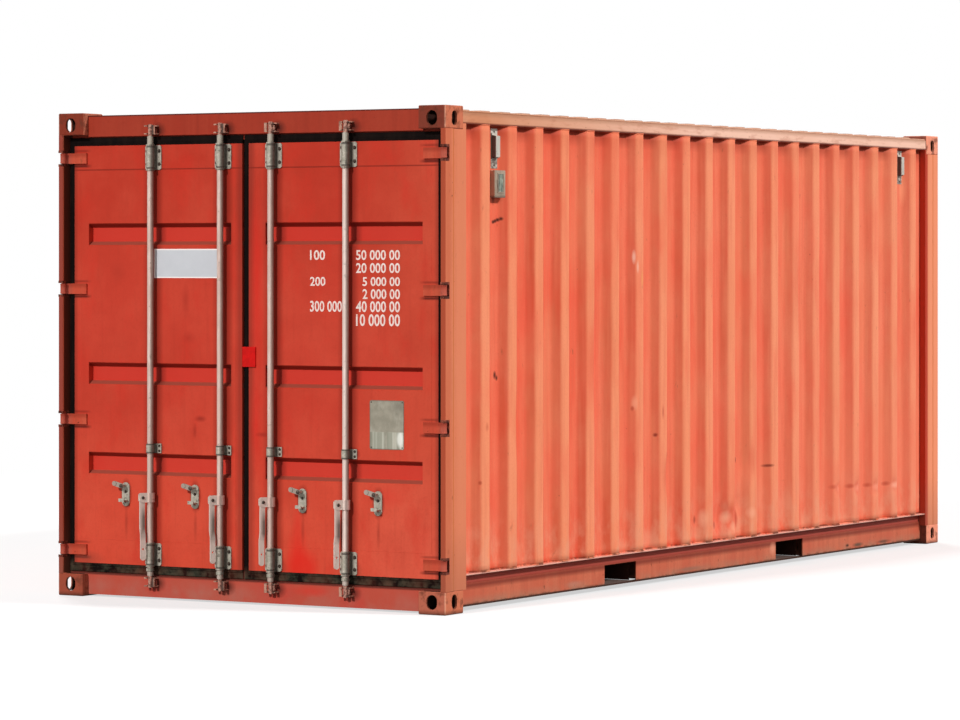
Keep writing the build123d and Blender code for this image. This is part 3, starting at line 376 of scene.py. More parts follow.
# Floor: 28 mm marine plywood boards screwed to the cross members and varnished brown.
# Trolleys and forks scuff the varnish along the length, and the joints hold black sealant.
board_width = 0.465
board_joint = 5 * mm
coat = Finish("varnished marine plywood", "#7a5232", 0.55)
coat.lay("#9b6d45", 0.6, coat.patches(0.02, 0.5, 0.15, (0.04, 1, 1), 6))
coat.lay("#4d331f", 0.5, coat.patches(0.006, 0.56, 0.1, (0.03, 1, 1), 6))
coat.lay("#a8937c", 0.45, coat.patches(0.3, 0.56, 0.14, (0.4, 1, 1)))
boards = {0: coat.axes[1], 1: board_width}
wave = add_node(coat.tree, "ShaderNodeMath", boards, operation="DIVIDE")
part = add_node(coat.tree, "ShaderNodeMath", {0: wave.outputs[0]}, operation="FRACT")
half_joint = board_joint / board_width
joint_mask = coat.span(part.outputs[0], 0.5 - half_joint, 0.5 + half_joint, 0.01)
coat.lay("#1c1815", 1, joint_mask)
coat.raise_up(joint_mask, -2 * mm)
dress(coat.cure(), "plywood_floor")

# Floor screws: countersunk steel screws in rows over the cross members, zinc-plated and
# worn. Each head is turned about its own axis, as the other round heads and rings are.


def turn(shape, profile, foot, axis, steps, scale=mm):
    """Turn a profile of (radius, height) pairs about an axis that stands on a point."""
    upright = Vector(axis).normalized()
    place = Matrix.Translation(foot) @ upright.to_track_quat("Z", "Y").to_matrix().to_4x4()
    line = [
        shape.verts.new(place @ Vector((radius * scale, 0, height * scale)))
        for radius, height in profile
    ]
    edges = [shape.edges.new(pair) for pair in zip(line, line[1:])]
    bmesh.ops.spin(
        shape,
        geom=line + edges,
        cent=foot,
        axis=upright,
        angle=2 * math.pi,
        steps=steps,
        use_merge=True,
    )


def close_up(shape, fill=False):
    """Merge doubles, fill open feet where asked, and point all faces outwards."""
    bmesh.ops.remove_doubles(shape, verts=shape.verts, dist=0.02 * mm)
    if fill:
        feet = [edge for edge in shape.edges if edge.is_boundary]
        bmesh.ops.holes_fill(shape, edges=feet, sides=0)
    bmesh.ops.recalc_face_normals(shape, faces=shape.faces)


coat = Finish("worn zinc-plated steel screws", "#8d857a", 0.45, 0.8, 0.5)
coat.lay("#4b3a2e", 0.6, coat.patches(0.01, 0.5, 0.1))
floor_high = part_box("plywood_floor")[1]
first_screw, row_step, column_step = -2.61, 0.29, 0.21
screw_head = [(0, 0.5), (3.5, 0.5), (6, 0.2), (6, -0.5)]
screws = bmesh.new()
for row in range(19):
    for column in range(-5, 6):
        place = (first_screw + row_step * row, column_step * column, floor_high.z)
        turn(screws, screw_head, place, (0, 0, 1), 10)
close_up(screws, fill=True)
add_piece("floor_screws", screws, coat.cure(), "container")

# Corner castings: cast steel blocks, welded in at all eight corners. Twist locks and lashing
# hooks knock their paint off, so edges and hole rims show brown rust over a coarse cast skin.
door_plane, side_plane = 3.029, 1.219
hollow_near, hollow_far, hollow_wide = 11 * mm, 167 * mm, 153 * mm
coat = Finish("chipped hull paint on cast steel", "#b96a50", 0.66)
age(coat, "#7c3f2c", "#cf8f72", 0.62, 0.4)
coat.lay("#a85a45", 0.5, coat.along(-2.6, -2.9))
front = coat.along(-door_plane + 9 * mm, -door_plane + 3 * mm)
coat.lay("#b8624b", 0.8, front)
coat.lay("#6c2719", 0.85, front, coat.up(1.0, 1.5))
coat.lay("#86301c", 0.6, front, coat.across(0.4, 0.9))
coat.lay("#dc7a57", 0.75, coat.aside(side_plane - 3 * mm, side_plane - 0.5 * mm))
coat.lay("#ffa284", 0.8, coat.along(2.6, 2.8))
# The far castings' faces towards the doors are painted dark brown: painted shade.
inner_end = coat.where(coat.along(2.854, 2.852), coat.along(2.6, 2.8))
coat.lay("#5a1d14", 0.85, inner_end, coat.aside(side_plane - 1 * mm, side_plane - 4 * mm))
near_rim = coat.along(-door_plane + 9 * mm, -door_plane + 1 * mm)
coat.lay("#e0a184", 0.7, near_rim, coat.aside(side_plane - 9 * mm, side_plane - 2 * mm))
coat.raise_up(coat.patches(0.004, 0.5, 0.25), 0.5 * mm)
coat.lay("#5c2f20", 0.65, coat.patches(0.05, 0.58, 0.07))
coat.lay("#45291d", 0.7, coat.up(26 * mm, 4 * mm))
# Inside the castings' hollows the paint is near-black: painted shade.
for near, far in (
    (-door_plane + hollow_near, -door_plane + hollow_far),
    (door_plane - hollow_far, door_plane - hollow_near),
):
    hollow = coat.aside(side_plane - hollow_wide, side_plane - hollow_near, 6 * mm)
    coat.lay("#1c0c08", 0.95, hollow, coat.along(near, far, 6 * mm))
dress(coat.cure(), "top_corner_castings", "bottom_corner_castings")

# Corner posts: folded and hot-rolled sections of 6 mm steel between the castings. They stand
# proud and take the most sun, so their paint has faded to an orange tan, but the fold that
# faces the doors is painted dark behind the gasket, partly a smear of rubber and partly painted
# shade.
coat = Finish("faded hull paint on the corner posts", "#dc7753", 0.6)
age(coat, "#b8603a", "#e69a76", 0.71)
coat.lay("#e68661", 0.7, coat.along(-2.95, -2.90))
coat.lay("#cf6a48", 0.6, coat.along(-3.1, -2.975, 30 * mm))
for groove in (-door_plane + 82.5 * mm, door_plane - 75.5 * mm):
    coat.lay("#c46616", 0.85, coat.along(groove - 5 * mm, groove + 5 * mm, 6 * mm))
post_lip = coat.along(-door_plane + 5 * mm, -door_plane + 2 * mm)
coat.lay("#a04028", 0.85, post_lip)
coat.lay("#8e3c30", 0.9, post_lip, coat.across(1.0, 1.1))
coat.lay("#ff9d74", 0.6, coat.along(2.87, 2.90))
coat.lay("#b8301d", 0.9, coat.along(2.80, 2.875, 6 * mm))
# Dark on the door-end posts' fold behind the gasket: partly rubber smear, partly painted shade.
fold_smear_and_shade = coat.where(
    coat.aside(side_plane - 27.5 * mm, side_plane - 30 * mm),
    coat.along(-door_plane + 5 * mm, -door_plane + 12 * mm),
    coat.along(-2.93, -2.95),
)
coat.lay("#3d120d", 0.92, fold_smear_and_shade)
coat.lay("#8a5a48", 0.35, coat.up(0.45, 0.12))
dress(coat.cure(), "door_end_posts", "blind_end_posts")

# Door header and sill: pressed box sections across the door end. They sit back in the frame
# and keep a deeper red; to the right of each cam keeper the paint is darkened, partly grease and
# dirt run down from it and partly painted shadow of the keeper.
keeper_heights = (2.49, 0.085)
coat = Finish("hull paint on the door header and sill", "#9e3321", 0.55)
age(coat, "#7c2818", "#ad4630", 0.72)
coat.lay("#bb4d3c", 0.95, coat.up(0.4, 0.2))
coat.lay("#a6796a", 0.4, coat.up(0.13, 0.05), coat.patches(0.2, 0.5, 0.15))
coat.lay("#c23b30", 0.5, coat.up(0.2, 0.1), coat.patches(0.25, 0.57, 0.08))
# Dark across the header's top edge: painted shade.
coat.lay("#3c1610", 0.85, coat.up(2.569, 2.574))
# Dark on the sill just under the bottom gasket: painted shadow of the gasket.
coat.lay("#3c201a", 0.8, coat.up(0.4, 0.2), coat.up(0.112, 0.121))
coat.lay("#dc2a1f", 0.6, coat.spot((-3.01, -0.375, 0.085), (0.07, 0.14, 0.038), 0.8))
# Each lock rod's place along and across, and its side of the container.
rods = {}
for name in ("left_outer", "left_inner", "right_inner", "right_outer"):
    rod_x, rod_y = joints[f"{name}_rod_turn"]["pos_m"][:2]
    rods[name] = (rod_x, rod_y, 1 if name.startswith("left") else -1)
# To the right of each rod at the keepers: partly grease, partly painted shadow of the keeper.
for _, rod_y, _ in rods.values():
    for height in keeper_heights:
        keeper_grease_and_shadow = coat.spot((-2.981, rod_y - 0.03, height), (0.04, 0.055, 0.05), 0.8)
        coat.lay("#2f1510", 0.75, keeper_grease_and_shadow)
dress(coat.cure(), "door_header", "door_sill")

# Top rails and roof: square tubes and a pressed 2 mm roof sheet. Rain lies on the sheet and
# dries there, so the roof is the palest and dustiest paint of all.
coat = Finish("sun-bleached hull paint on the top rails", "#d0855c", 0.6)
coat.lay("#ffcfb8", 0.9, coat.along(-2.6, -0.2))
coat.lay("#f0b698", 0.30, coat.patches(0.5, 0.53, 0.16))
coat.lay("#b9684a", 0.35, coat.patches(0.03, 0.60, 0.08, (0.2, 1, 1)))
coat.lay("#84452a", 0.6, coat.patches(0.02, 0.70, 0.04, (0.4, 1, 1), 6))
coat.lay("#ae7c5e", 0.6, coat.up(2.536, 2.556))
# The rail's lowest few millimetres are painted dark: painted shade along its lower edge.
coat.lay("#6b2417", 0.85, coat.up(2.512, 2.505))
coat.raise_up(coat.patches(0.5, 0.5, 0.3), 2.5 * mm)
top_steel = coat.cure()
dress(top_steel, "top_side_rails", "blind_end_top_rail")
coat = Finish("dusty hull paint on the roof", "#b98870", 0.7)
age(coat, "#9a6753", "#cfae99", 0.66)
coat.lay("#a58c7c", 0.45, coat.patches(0.25, 0.54, 0.14))
dress(coat.cure(), "roof_panel", "roof_corner_plates")

# Side walls: 2 mm weathering steel sheets, folded into deep flutes on a press, then welded
# to the posts and rails. The outer flats are painted salmon, partly sun chalking and partly a
# painted sheen; the inner flats coral, partly painted shade of the recess; the slopes keep the
# deepest red. Handling has dented the lower edge.
wall_low, wall_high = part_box("right_side_wall")
flute_outer = 1.212
flute_depth = 36 * mm
coat = Finish("chalked acrylic paint on fluted steel", "#dc5738", 0.6)
# Outer flats salmon and inner flats coral: partly sun chalking, partly a painted sheen on the outer
# flats and painted shade in the recessed inner flats.
coat.lay("#fc966c", 0.95, coat.aside(flute_outer - 9 * mm, flute_outer - 1 * mm))
coat.lay("#f2684b", 0.95, coat.aside(flute_outer - 27 * mm, flute_outer - 35 * mm))
coat.lay("#ff9f7c", 0.30, coat.along(-1.4, 2.6))
age(coat, "#d2543a", "#fb9e78", 0.74)
coat.lay("#ee8c62", 0.35, coat.patches(0.22, 0.56, 0.1, (1, 1, 0.25)))
coat.lay("#f2553f", 0.40, coat.patches(0.30, 0.57, 0.1, (1, 1, 0.35)))
coat.lay("#f47c5c", 0.5, coat.along(0.2, 2.6), coat.up(1.3, 0.5))
coat.lay("#c8472f", 0.30, coat.up(wall_high.z - 0.16, wall_high.z))
# Darker in the recesses just under the top rail: painted shade.
rail_brow_shade = coat.up(wall_high.z - 0.09, wall_high.z - 0.01)
coat.lay("#98301f", 0.70, coat.aside(flute_outer - 8 * mm, flute_outer - 30 * mm), rail_brow_shade)
scuffs = coat.patches(0.09, 0.52, 0.1, (1, 1, 0.6))
coat.lay("#eda482", 0.55, coat.up(wall_low.z + 0.35, wall_low.z), scuffs)
foot_line = coat.up(wall_low.z + 14 * mm, wall_low.z + 4 * mm)
coat.lay("#5b2a1f", 0.8, foot_line, coat.patches(0.10, 0.50, 0.05))
# Knocks and rust marks on the right wall, and painted shade and highlight on its small dents,
# in groups by their place and reach across it: place along, height, reach along, reach up, colour
# and cover.
wall_marks = (
    (-1.176, 0.04, (
        (-2.482, 2.001, 0.018, 0.013, "#1d0906", 0.95),
        (-2.462, 2.006, 0.020, 0.013, "#1d0906", 0.95),
        (-2.440, 2.012, 0.020, 0.013, "#1d0906", 0.95),
        (-2.418, 2.018, 0.018, 0.013, "#1d0906", 0.95),
        (-2.480, 2.130, 0.022, 0.050, "#7c2416", 0.70),
        (-2.466, 1.205, 0.018, 0.026, "#3a1510", 0.9),
        (-2.448, 1.190, 0.012, 0.018, "#2b120d", 0.9))),
    (-1.20, 0.05, (
        (-0.993, 1.015, 0.030, 0.050, "#ffa884", 0.6),
        (-1.010, 0.985, 0.014, 0.018, "#b8402c", 0.7),
        (-0.737, 0.829, 0.020, 0.014, "#8c2c1e", 0.9),
        (-0.678, 0.955, 0.014, 0.050, "#b8402c", 0.6),
        (-0.596, 0.583, 0.016, 0.028, "#8c3325", 0.8),
        (0.277, 0.645, 0.014, 0.024, "#5a1f16", 0.85),
        (0.652, 0.596, 0.070, 0.012, "#6e261a", 0.8))),
    (-1.19, 0.05, (
        (-0.234, 0.327, 0.020, 0.030, "#8c3325", 0.7),
        (0.280, 0.312, 0.030, 0.070, "#b53826", 0.7),
        (0.013, 0.284, 0.024, 0.030, "#a03a2a", 0.6))),
    # In this group, the pairs at the four small dents low down are a darker mark on each dent's
    # near side, painted shade, and a paler one on its middle, a painted highlight.
    (-1.20, 0.05, (
        (-2.662, 0.655, 0.014, 0.014, "#b03c26", 0.7),
        (-2.602, 0.941, 0.020, 0.030, "#cc5a3c", 0.5),
        (1.520, 0.428, 0.050, 0.018, "#cc5038", 0.6),
        (1.770, 0.421, 0.050, 0.018, "#c44832", 0.7),
        (2.030, 0.414, 0.050, 0.018, "#c44832", 0.7),
        (2.300, 0.410, 0.050, 0.018, "#b8402c", 0.7),
        (1.620, 0.412, 0.060, 0.026, "#ff9d80", 0.6),
        (1.870, 0.405, 0.060, 0.026, "#ff9d80", 0.6),
        (2.130, 0.400, 0.060, 0.026, "#ff9d80", 0.6),
        (2.410, 0.398, 0.070, 0.026, "#ffb093", 0.7))),
    (-1.18, 0.05, ((2.560, 2.250, 0.050, 0.120, "#ff9a72", 0.6),)),
    (-1.20, 0.03, (
        (-1.000, 1.820, 0.016, 0.045, "#ffc4ac", 0.70),
        (-0.972, 1.765, 0.016, 0.045, "#ffc4ac", 0.75),
        (-0.920, 1.700, 0.022, 0.065, "#f0a25e", 0.55))),
    (-1.205, 0.05, (
        (0.120, 0.322, 0.080, 0.045, "#ffb894", 0.55),
        (0.210, 0.258, 0.070, 0.040, "#ffb894", 0.50),
        (-0.173, 0.335, 0.050, 0.060, "#ffb894", 0.45),
        (0.420, 0.335, 0.060, 0.040, "#ffb08e", 0.50))),
)
for across, deep, marks in wall_marks:
    for along, up, wide, tall, colour, cover in marks:
        coat.lay(colour, cover, coat.spot((along, across, up), (wide, deep, tall), 0.7))
wall_steel = coat.cure()

fold_radius = 9 * mm
wall_rows = 60
flat_outer, flat_inner, slope_run = 72 * mm, 70 * mm, 68 * mm
first_flat = 169 * mm
sheet_steel = 2 * mm


def fold_line(start, end):
    """Corners of the fluted sheet in plan: place along the wall and depth behind the face."""
    corners = [(start, flute_depth)]
    place = start + first_flat
    while place + flat_outer <= end:
        corners += [
            (place - slope_run, flute_depth),
            (place, 0.0),
            (place + flat_outer, 0.0),
            (place + flat_outer + slope_run, flute_depth),
        ]
        place += flat_outer + flat_inner + 2 * slope_run
    return [corner for corner in corners if corner[0] < end - mm] + [(end, flute_depth)]


# Dents: place along the wall, height, reach along, reach up, and depth, all in metres.
right_dents = [
    (0.13, 0.315, 0.16, 0.11, 0.020),
    (0.30, 0.39, 0.09, 0.08, 0.012),
    (1.60, 0.418, 0.10, 0.05, 0.012),
    (1.85, 0.411, 0.10, 0.05, 0.012),
    (2.11, 0.404, 0.10, 0.05, 0.012),
    (2.38, 0.402, 0.10, 0.05, 0.012),
    (-0.60, 0.60, 0.14, 0.16, 0.007),
    (0.40, 0.62, 0.16, 0.14, 0.008),
    (-1.40, 1.25, 0.30, 0.40, 0.005),
    (1.10, 1.60, 0.35, 0.45, 0.005),
    (-2.20, 0.95, 0.20, 0.30, 0.006),
]


def rise(edge):
    """How far an edge climbs from one end to the other."""
    return abs(edge.verts[0].co.z - edge.verts[1].co.z)


def fluted_wall(side, dents, rows):
    """Sheet of one side wall: its fold line drawn up, its folds rounded, its dents pressed."""
    shape = bmesh.new()
    line = [
        shape.verts.new((place, side * (flute_outer - depth), wall_low.z))
        for place, depth in fold_line(wall_low.x, wall_high.x)
    ]
    edges = [shape.edges.new(pair) for pair in zip(line, line[1:])]
    drawn = bmesh.ops.extrude_edge_only(shape, edges=edges)["geom"]
    tops = [part for part in drawn if isinstance(part, bmesh.types.BMVert)]
    bmesh.ops.translate(shape, verts=tops, vec=(0, 0, wall_high.z - wall_low.z))
    folds = [edge for edge in shape.edges if rise(edge) > 1 and len(edge.link_faces) == 2]
    round_off(shape, folds, fold_radius, 3)
    flats = [edge for edge in shape.edges if rise(edge) < mm and edge.calc_length() > 30 * mm]
    bmesh.ops.subdivide_edges(shape, edges=flats, cuts=3, use_grid_fill=True)
    uprights = [edge for edge in shape.edges if rise(edge) > 1]
    bmesh.ops.subdivide_edges(shape, edges=uprights, cuts=rows - 1, use_grid_fill=True)
    for along, up, reach_along, reach_up, depth in dents:
        for vert in shape.verts:
            off = ((vert.co.x - along) / reach_along) ** 2 + ((vert.co.z - up) / reach_up) ** 2
            if off < 1:
                vert.co.y -= side * depth * (1 - off) ** 2
    bmesh.ops.recalc_face_normals(shape, faces=shape.faces)
    if sum(face.normal.y for face in shape.faces) * side < 0:
        bmesh.ops.reverse_faces(shape, faces=shape.faces)
    for face in shape.faces:
        face.smooth = True
    return shape


for side, body_name, dents, rows in ((-1, "right", right_dents, wall_rows), (1, "left", [], 12)):
    shape = fluted_wall(side, dents, rows)
    wall = add_piece(
        f"{body_name}_fluted_wall", shape, wall_steel, "container"
    )
    gauge = wall.modifiers.new("sheet thickness", "SOLIDIFY")
    gauge.thickness = sheet_steel
    gauge.offset = -1
    gauge.use_even_offset = True
    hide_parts(f"{body_name}_side_wall")

# Weld seams: beads laid by hand and sprayed over, round the flutes on the bottom rail's
# flange and under the top rail, and where the posts meet the castings.


def weld_seam(name, runs, bead, material, body, closed=False):
    """Lay beads of weld along runs of points, half sunk in the steel."""
    seam = bpy.data.curves.new(name, "CURVE")
    seam.dimensions = "3D"
    seam.bevel_depth = bead
    seam.bevel_resolution = 1
    seam.use_fill_caps = not closed
    for points in runs:
        run = seam.splines.new("POLY")
        run.points.add(len(points) - 1)
        for point, place in zip(run.points, points):
            point.co = (*place, 1)
        run.use_cyclic_u = closed
    weld = bpy.data.objects.new(name, seam)
    scene.collection.objects.link(weld)
    seam.materials.append(material)
    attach(weld, body)


for side, body_name in ((-1, "right"), (1, "left")):
    seams = [
        [
            (place, side * (flute_outer - depth - mm), height)
            for place, depth in fold_line(wall_low.x, wall_high.x)
        ]
        for height in (wall_low.z + 2 * mm, wall_high.z - 2 * mm)
    ]
    weld_seam(f"{body_name}_wall_welds", seams, 3.5 * mm, wall_steel, "container")
roof_reach, roof_aside, roof_height = 2.845, 1.206, 2.564
roof_edges = [
    [(end * roof_reach, side * roof_aside, roof_height) for end in (-1, 1)] for side in (-1, 1)
]
weld_seam("roof_edge_welds", roof_edges, 4.5 * mm, top_steel, "container")
# Corners of a post's outline where it stands on a casting: place along and aside.
post_outline = (
    (-2.966, 1.1885),
    (-3.0255, 1.1885),
    (-3.0255, 1.2155),
    (-2.948, 1.2155),
    (-2.945, 1.2140),
    (-2.852, 1.2140),
)
post_seams = [
    [(along, side * aside, height) for along, aside in post_outline]
    for side in (-1, 1)
    for height in (118 * mm, 2.473)
]
coat = Finish("sprayed weld beads", "#b0583f", 0.7)
coat.lay("#6a3222", 0.6, coat.patches(0.02, 0.5, 0.1))
coat.raise_up(coat.patches(0.004, 0.5, 0.3), 0.6 * mm)
weld_seam("post_welds", post_seams, 3 * mm, coat.cure(), "container")

# Blind end: a wall of deeper, closer flutes between two posts and two rails. Nothing shows
# of it from the doors, so it has the hull paint of the side walls and rails, plainly aged.
coat = Finish("hull paint on the blind end", "#d0634a", 0.6)
age(coat, "#a84f38", "#e38d6c", 0.72, 0.35)
coat.lay("#e98f6d", 0.5, coat.along(3.012, 3.019))
dress(coat.cure(), "blind_end_wall", "blind_end_bottom_rail")

# Ventilators: grey moulded ABS covers over the vent holes, held by a rivet above and below.
# Sun has chalked the plastic, and soot and rain run from under its open side. The box's side
# towards the doors and the plate beside it are painted near-black as painted shade.
vent_low, vent_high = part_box("ventilators")
vent_places = (vent_low.x + 33 * mm, vent_high.x - 33 * mm)
box_low, box_high = vent_high.z - 153 * mm, vent_high.z - 34 * mm
coat = Finish("sun-chalked grey ABS", "#c9c2b6", 0.5, shine=0.3)
coat.lay("#9b968a", 0.4, coat.patches(0.03, 0.55, 0.1, (1, 1, 0.3)))
coat.lay("#5b564c", 0.5, coat.patches(0.02, 0.64, 0.05))
box_foot = coat.up(box_low + 2 * mm, box_low - 2 * mm)
coat.lay("#5a4a3f", 0.85, box_foot, coat.patches(0.02, 0.45, 0.1))
# The side of each box towards the doors and the plate beside it: painted shade.
for vent_x in vent_places:
    side_shade = coat.along(vent_x - 34 * mm, vent_x - 20.8 * mm, 2 * mm)
    coat.lay("#33180f", 0.9, side_shade, coat.up(box_low - 6 * mm, box_high + 10 * mm, 6 * mm))
dress(coat.cure(), "ventilators")


def dome(radius, height):
    """Profile of a domed rivet head in millimetres, from its crown to its foot."""
    steps = [math.radians(90 - 22.5 * step) for step in range(5)]
    return [(radius * math.cos(turned), height * math.sin(turned)) for turned in steps]


coat = Finish("greasy steel rivets", "#2e2722", 0.5, 0.5, 0.5)
coat.lay("#5d4636", 0.6, coat.patches(0.008, 0.52, 0.1))
rivet_steel = coat.cure()
vent_face = 1.178
lip_size = (40 * mm, 17 * mm, 3 * mm)
vent_rivets = bmesh.new()
for vent_x in vent_places:
    for side in (-1, 1):
        for height in (vent_high.z - 16 * mm, vent_low.z + 16 * mm):
            turn(vent_rivets, dome(6, 4), (vent_x, side * vent_face, height), (0, side, 0), 12)
        lip_place = (vent_x, side * (vent_face + 8.6 * mm), box_low + 0.5 * mm)
        block(vent_rivets, lip_size, lip_place)
close_up(vent_rivets)
add_piece("vent_rivets", vent_rivets, rivet_steel, "container")

# Tag box: a folded housing on the right wall with a raised bezel round a dark window, behind
# which a reader's tag sits. Its window is smoked acrylic.
tag_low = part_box("tag_box")[0]
coat = Finish("weathered tag housing", "#a69280", 0.55)
coat.lay("#7d6d5c", 0.45, coat.patches(0.03, 0.54, 0.1))
coat.lay("#c2b5a0", 0.5, coat.patches(0.05, 0.58, 0.08, (1, 1, 0.3)))
coat.lay("#b98f74", 0.7, coat.along(tag_low.x + 4 * mm, tag_low.x))
coat.lay("#4a3a2e", 0.7, coat.up(tag_low.z + 16 * mm, tag_low.z))
tag_steel = coat.cure()
dress(tag_steel, "tag_box")


def carry_round(shape, rings):
    """Extrude a frame's first ring of corners to each further ring and back to the first."""
    last = [Vector(place) for place in rings[0]]
    corners = [shape.verts.new(place) for place in last]
    edges = [shape.edges.new((corners[place - 1], corners[place])) for place in range(len(last))]
    for ring in rings[1:] + rings[:1]:
        grown = bmesh.ops.extrude_edge_only(shape, edges=edges)["geom"]
        edges = [part for part in grown if isinstance(part, bmesh.types.BMEdge)]
        for corner in {corner for edge in edges for corner in edge.verts}:
            place = min(range(len(last)), key=lambda number: (corner.co - last[number]).length)
            corner.co = ring[place]
        last = [Vector(place) for place in ring]


# Rings of the bezel: width, height and how far each stands out, in millimetres.
bezel_rings = (
    (64, 105, -0.5), (64, 105, 2.2), (60, 101, 3), (53, 94, 3), (51, 92, 0.8), (51, 92, -0.5)
)
bezel_middle = Vector((-2.4695, tag_low.y, 2.203))
bezel = bmesh.new()
rings = [
    [
        bezel_middle + Vector((along * wide, -2 * out, up * tall)) * mm / 2
        for along, up in ((-1, -1), (1, -1), (1, 1), (-1, 1))
    ]
    for wide, tall, out in bezel_rings
]
carry_round(bezel, rings)
close_up(bezel)
add_piece("tag_window_bezel", bezel, tag_steel, "container")
coat = Finish("smoked acrylic window", "#4d5a4c", 0.3, shine=0.4)
coat.lay("#c3cbb4", 0.75, coat.patches(0.016, 0.52, 0.1, (1, 1, 0.3)))
coat.lay("#1f2721", 0.7, coat.patches(0.014, 0.57, 0.1, (1, 1, 0.5)))
coat.lay("#141a15", 0.85, coat.along(-2.480, -2.488))
window = bmesh.new()
bmesh.ops.create_grid(window, x_segments=2, y_segments=2, size=0.5)
bmesh.ops.scale(window, verts=window.verts, vec=(52 * mm, 93 * mm, 1))
bmesh.ops.rotate(window, verts=window.verts, matrix=Matrix.Rotation(math.radians(90), 3, "X"))
bmesh.ops.translate(window, verts=window.verts, vec=bezel_middle - Vector((0, 1 * mm, 0)))
bmesh.ops.solidify(window, geom=window.faces[:], thickness=0.8 * mm)
close_up(window)
add_piece("tag_window", window, coat.cure(), "container")

# Door leaves: a welded tube frame round a sheet with three pressed ribs. The doors face away
# from the sun and keep a strong red; hands, handles and rain leave scuffs and faint drips.
leaf_face = -2.979
rib_heights = (0.714, 1.195, 1.940)
hinge_heights = (0.248, 0.9483, 1.6487, 2.349)
seam_high = 2.285
retainer_reach = 0.180
coat = Finish("alkyd enamel on the door leaves", "#c43d2b", 0.5)
coat.lay("#b83321", 0.9, coat.up(1.5, 2.2))
coat.lay("#d44b34", 0.9, coat.up(1.0, 0.5))
coat.lay("#cb5339", 0.5, coat.across(-0.6, -1.1))
coat.lay("#dc5c45", 0.6, coat.across(-0.4, -0.9), coat.up(0.8, 0.4))
coat.lay("#d4553e", 0.35, coat.patches(0.40, 0.56, 0.14))
coat.lay("#a92b1a", 0.30, coat.patches(0.28, 0.57, 0.12))
coat.lay("#cc2f20", 0.40, coat.patches(0.16, 0.60, 0.08, (1, 1, 0.5)))
coat.lay("#a63322", 0.18, coat.patches(0.03, 0.62, 0.08, (1, 1, 0.08)))
coat.lay("#92301f", 0.12, coat.patches(0.012, 0.60, 0.10))
coat.lay("#74291f", 0.50, coat.aside(1.122, 1.140))
coat.lay("#6a251c", 0.50, coat.across(-0.014, 0.090, 30 * mm))
deep = coat.along(leaf_face + 4 * mm, leaf_face + 8 * mm)
deepest = coat.along(leaf_face + 32 * mm, leaf_face + 35 * mm)
# Each rib's upper slope, which faces down, is painted dark: painted shade.
for rib in rib_heights:
    coat.lay("#8f4638", 0.9, deep, coat.up(rib - 62 * mm, rib - 38 * mm, 5 * mm))
    coat.lay("#7a1810", 0.8, deep, coat.up(rib + 37 * mm, rib + 62 * mm, 5 * mm))
    coat.lay("#c93529", 0.75, deepest, coat.up(rib - 37 * mm, rib + 37 * mm, 3 * mm))
panel_line = coat.up(seam_high - 2 * mm, seam_high + 5 * mm, 4 * mm)
coat.lay("#7c2114", 0.75, panel_line, coat.along(leaf_face + 3 * mm, leaf_face + 1 * mm))
# Above and below each hinge blade the door is painted dark: painted shadow of the blade.
for height in hinge_heights:
    for low, high, cover in ((-48 * mm, -34 * mm, 0.85), (34 * mm, 46 * mm, 0.45)):
        blade_shadow = coat.up(height + low, height + high, 8 * mm)
        coat.lay("#4a110a", cover, blade_shadow, coat.aside(1.030, 1.070))
# The marks stay off the sheet's inner face, which lies 2 mm behind its outer one.
inner_face = coat.along(leaf_face + 1.2 * mm, leaf_face + 2.8 * mm, 0.6 * mm)
outer_side = coat.where(
    coat.span(inner_face, 1, 0), coat.along(leaf_face + 37.4 * mm, leaf_face + 36.6 * mm)
)
# Touched-up, rubbed and dirty places: place across, height, reach across and up, edge,
# colour and cover.
for across, up, wide, tall, edge, colour, cover in (
    (-0.315, 0.205, 0.125, 0.120, 0.6, "#dc2418", 0.75),
    (-0.290, 0.300, 0.075, 0.150, 0.8, "#dc2418", 0.60),
    (-0.290, 0.440, 0.040, 0.120, 0.9, "#d62c1f", 0.45),
    (-0.035, 1.650, 0.050, 0.620, 0.9, "#d3241a", 0.60),
    (-0.030, 0.950, 0.045, 0.300, 0.9, "#d3241a", 0.50),
    (-0.850, 0.590, 0.120, 0.070, 0.9, "#d8392b", 0.45),
    (0.325, 0.965, 0.045, 0.020, 0.8, "#8c2418", 0.70),
    (0.360, 0.900, 0.015, 0.050, 0.9, "#8c2418", 0.55),
    (0.420, 1.590, 0.030, 0.100, 0.9, "#a02c1e", 0.50),
    (0.400, 1.390, 0.050, 0.040, 0.9, "#a02c1e", 0.45),
    (0.860, 1.740, 0.060, 0.080, 0.9, "#ad3424", 0.45),
    (-0.070, 0.890, 0.050, 0.016, 0.8, "#97261a", 0.60),
    (0.600, 0.400, 0.030, 0.200, 0.9, "#d93325", 0.40),
    (1.080, 0.200, 0.150, 0.050, 0.9, "#7c3a2c", 0.50),
):
    mark = coat.spot((leaf_face, across, up), (0.05, wide, tall), edge)
    coat.lay(colour, cover, outer_side, mark)
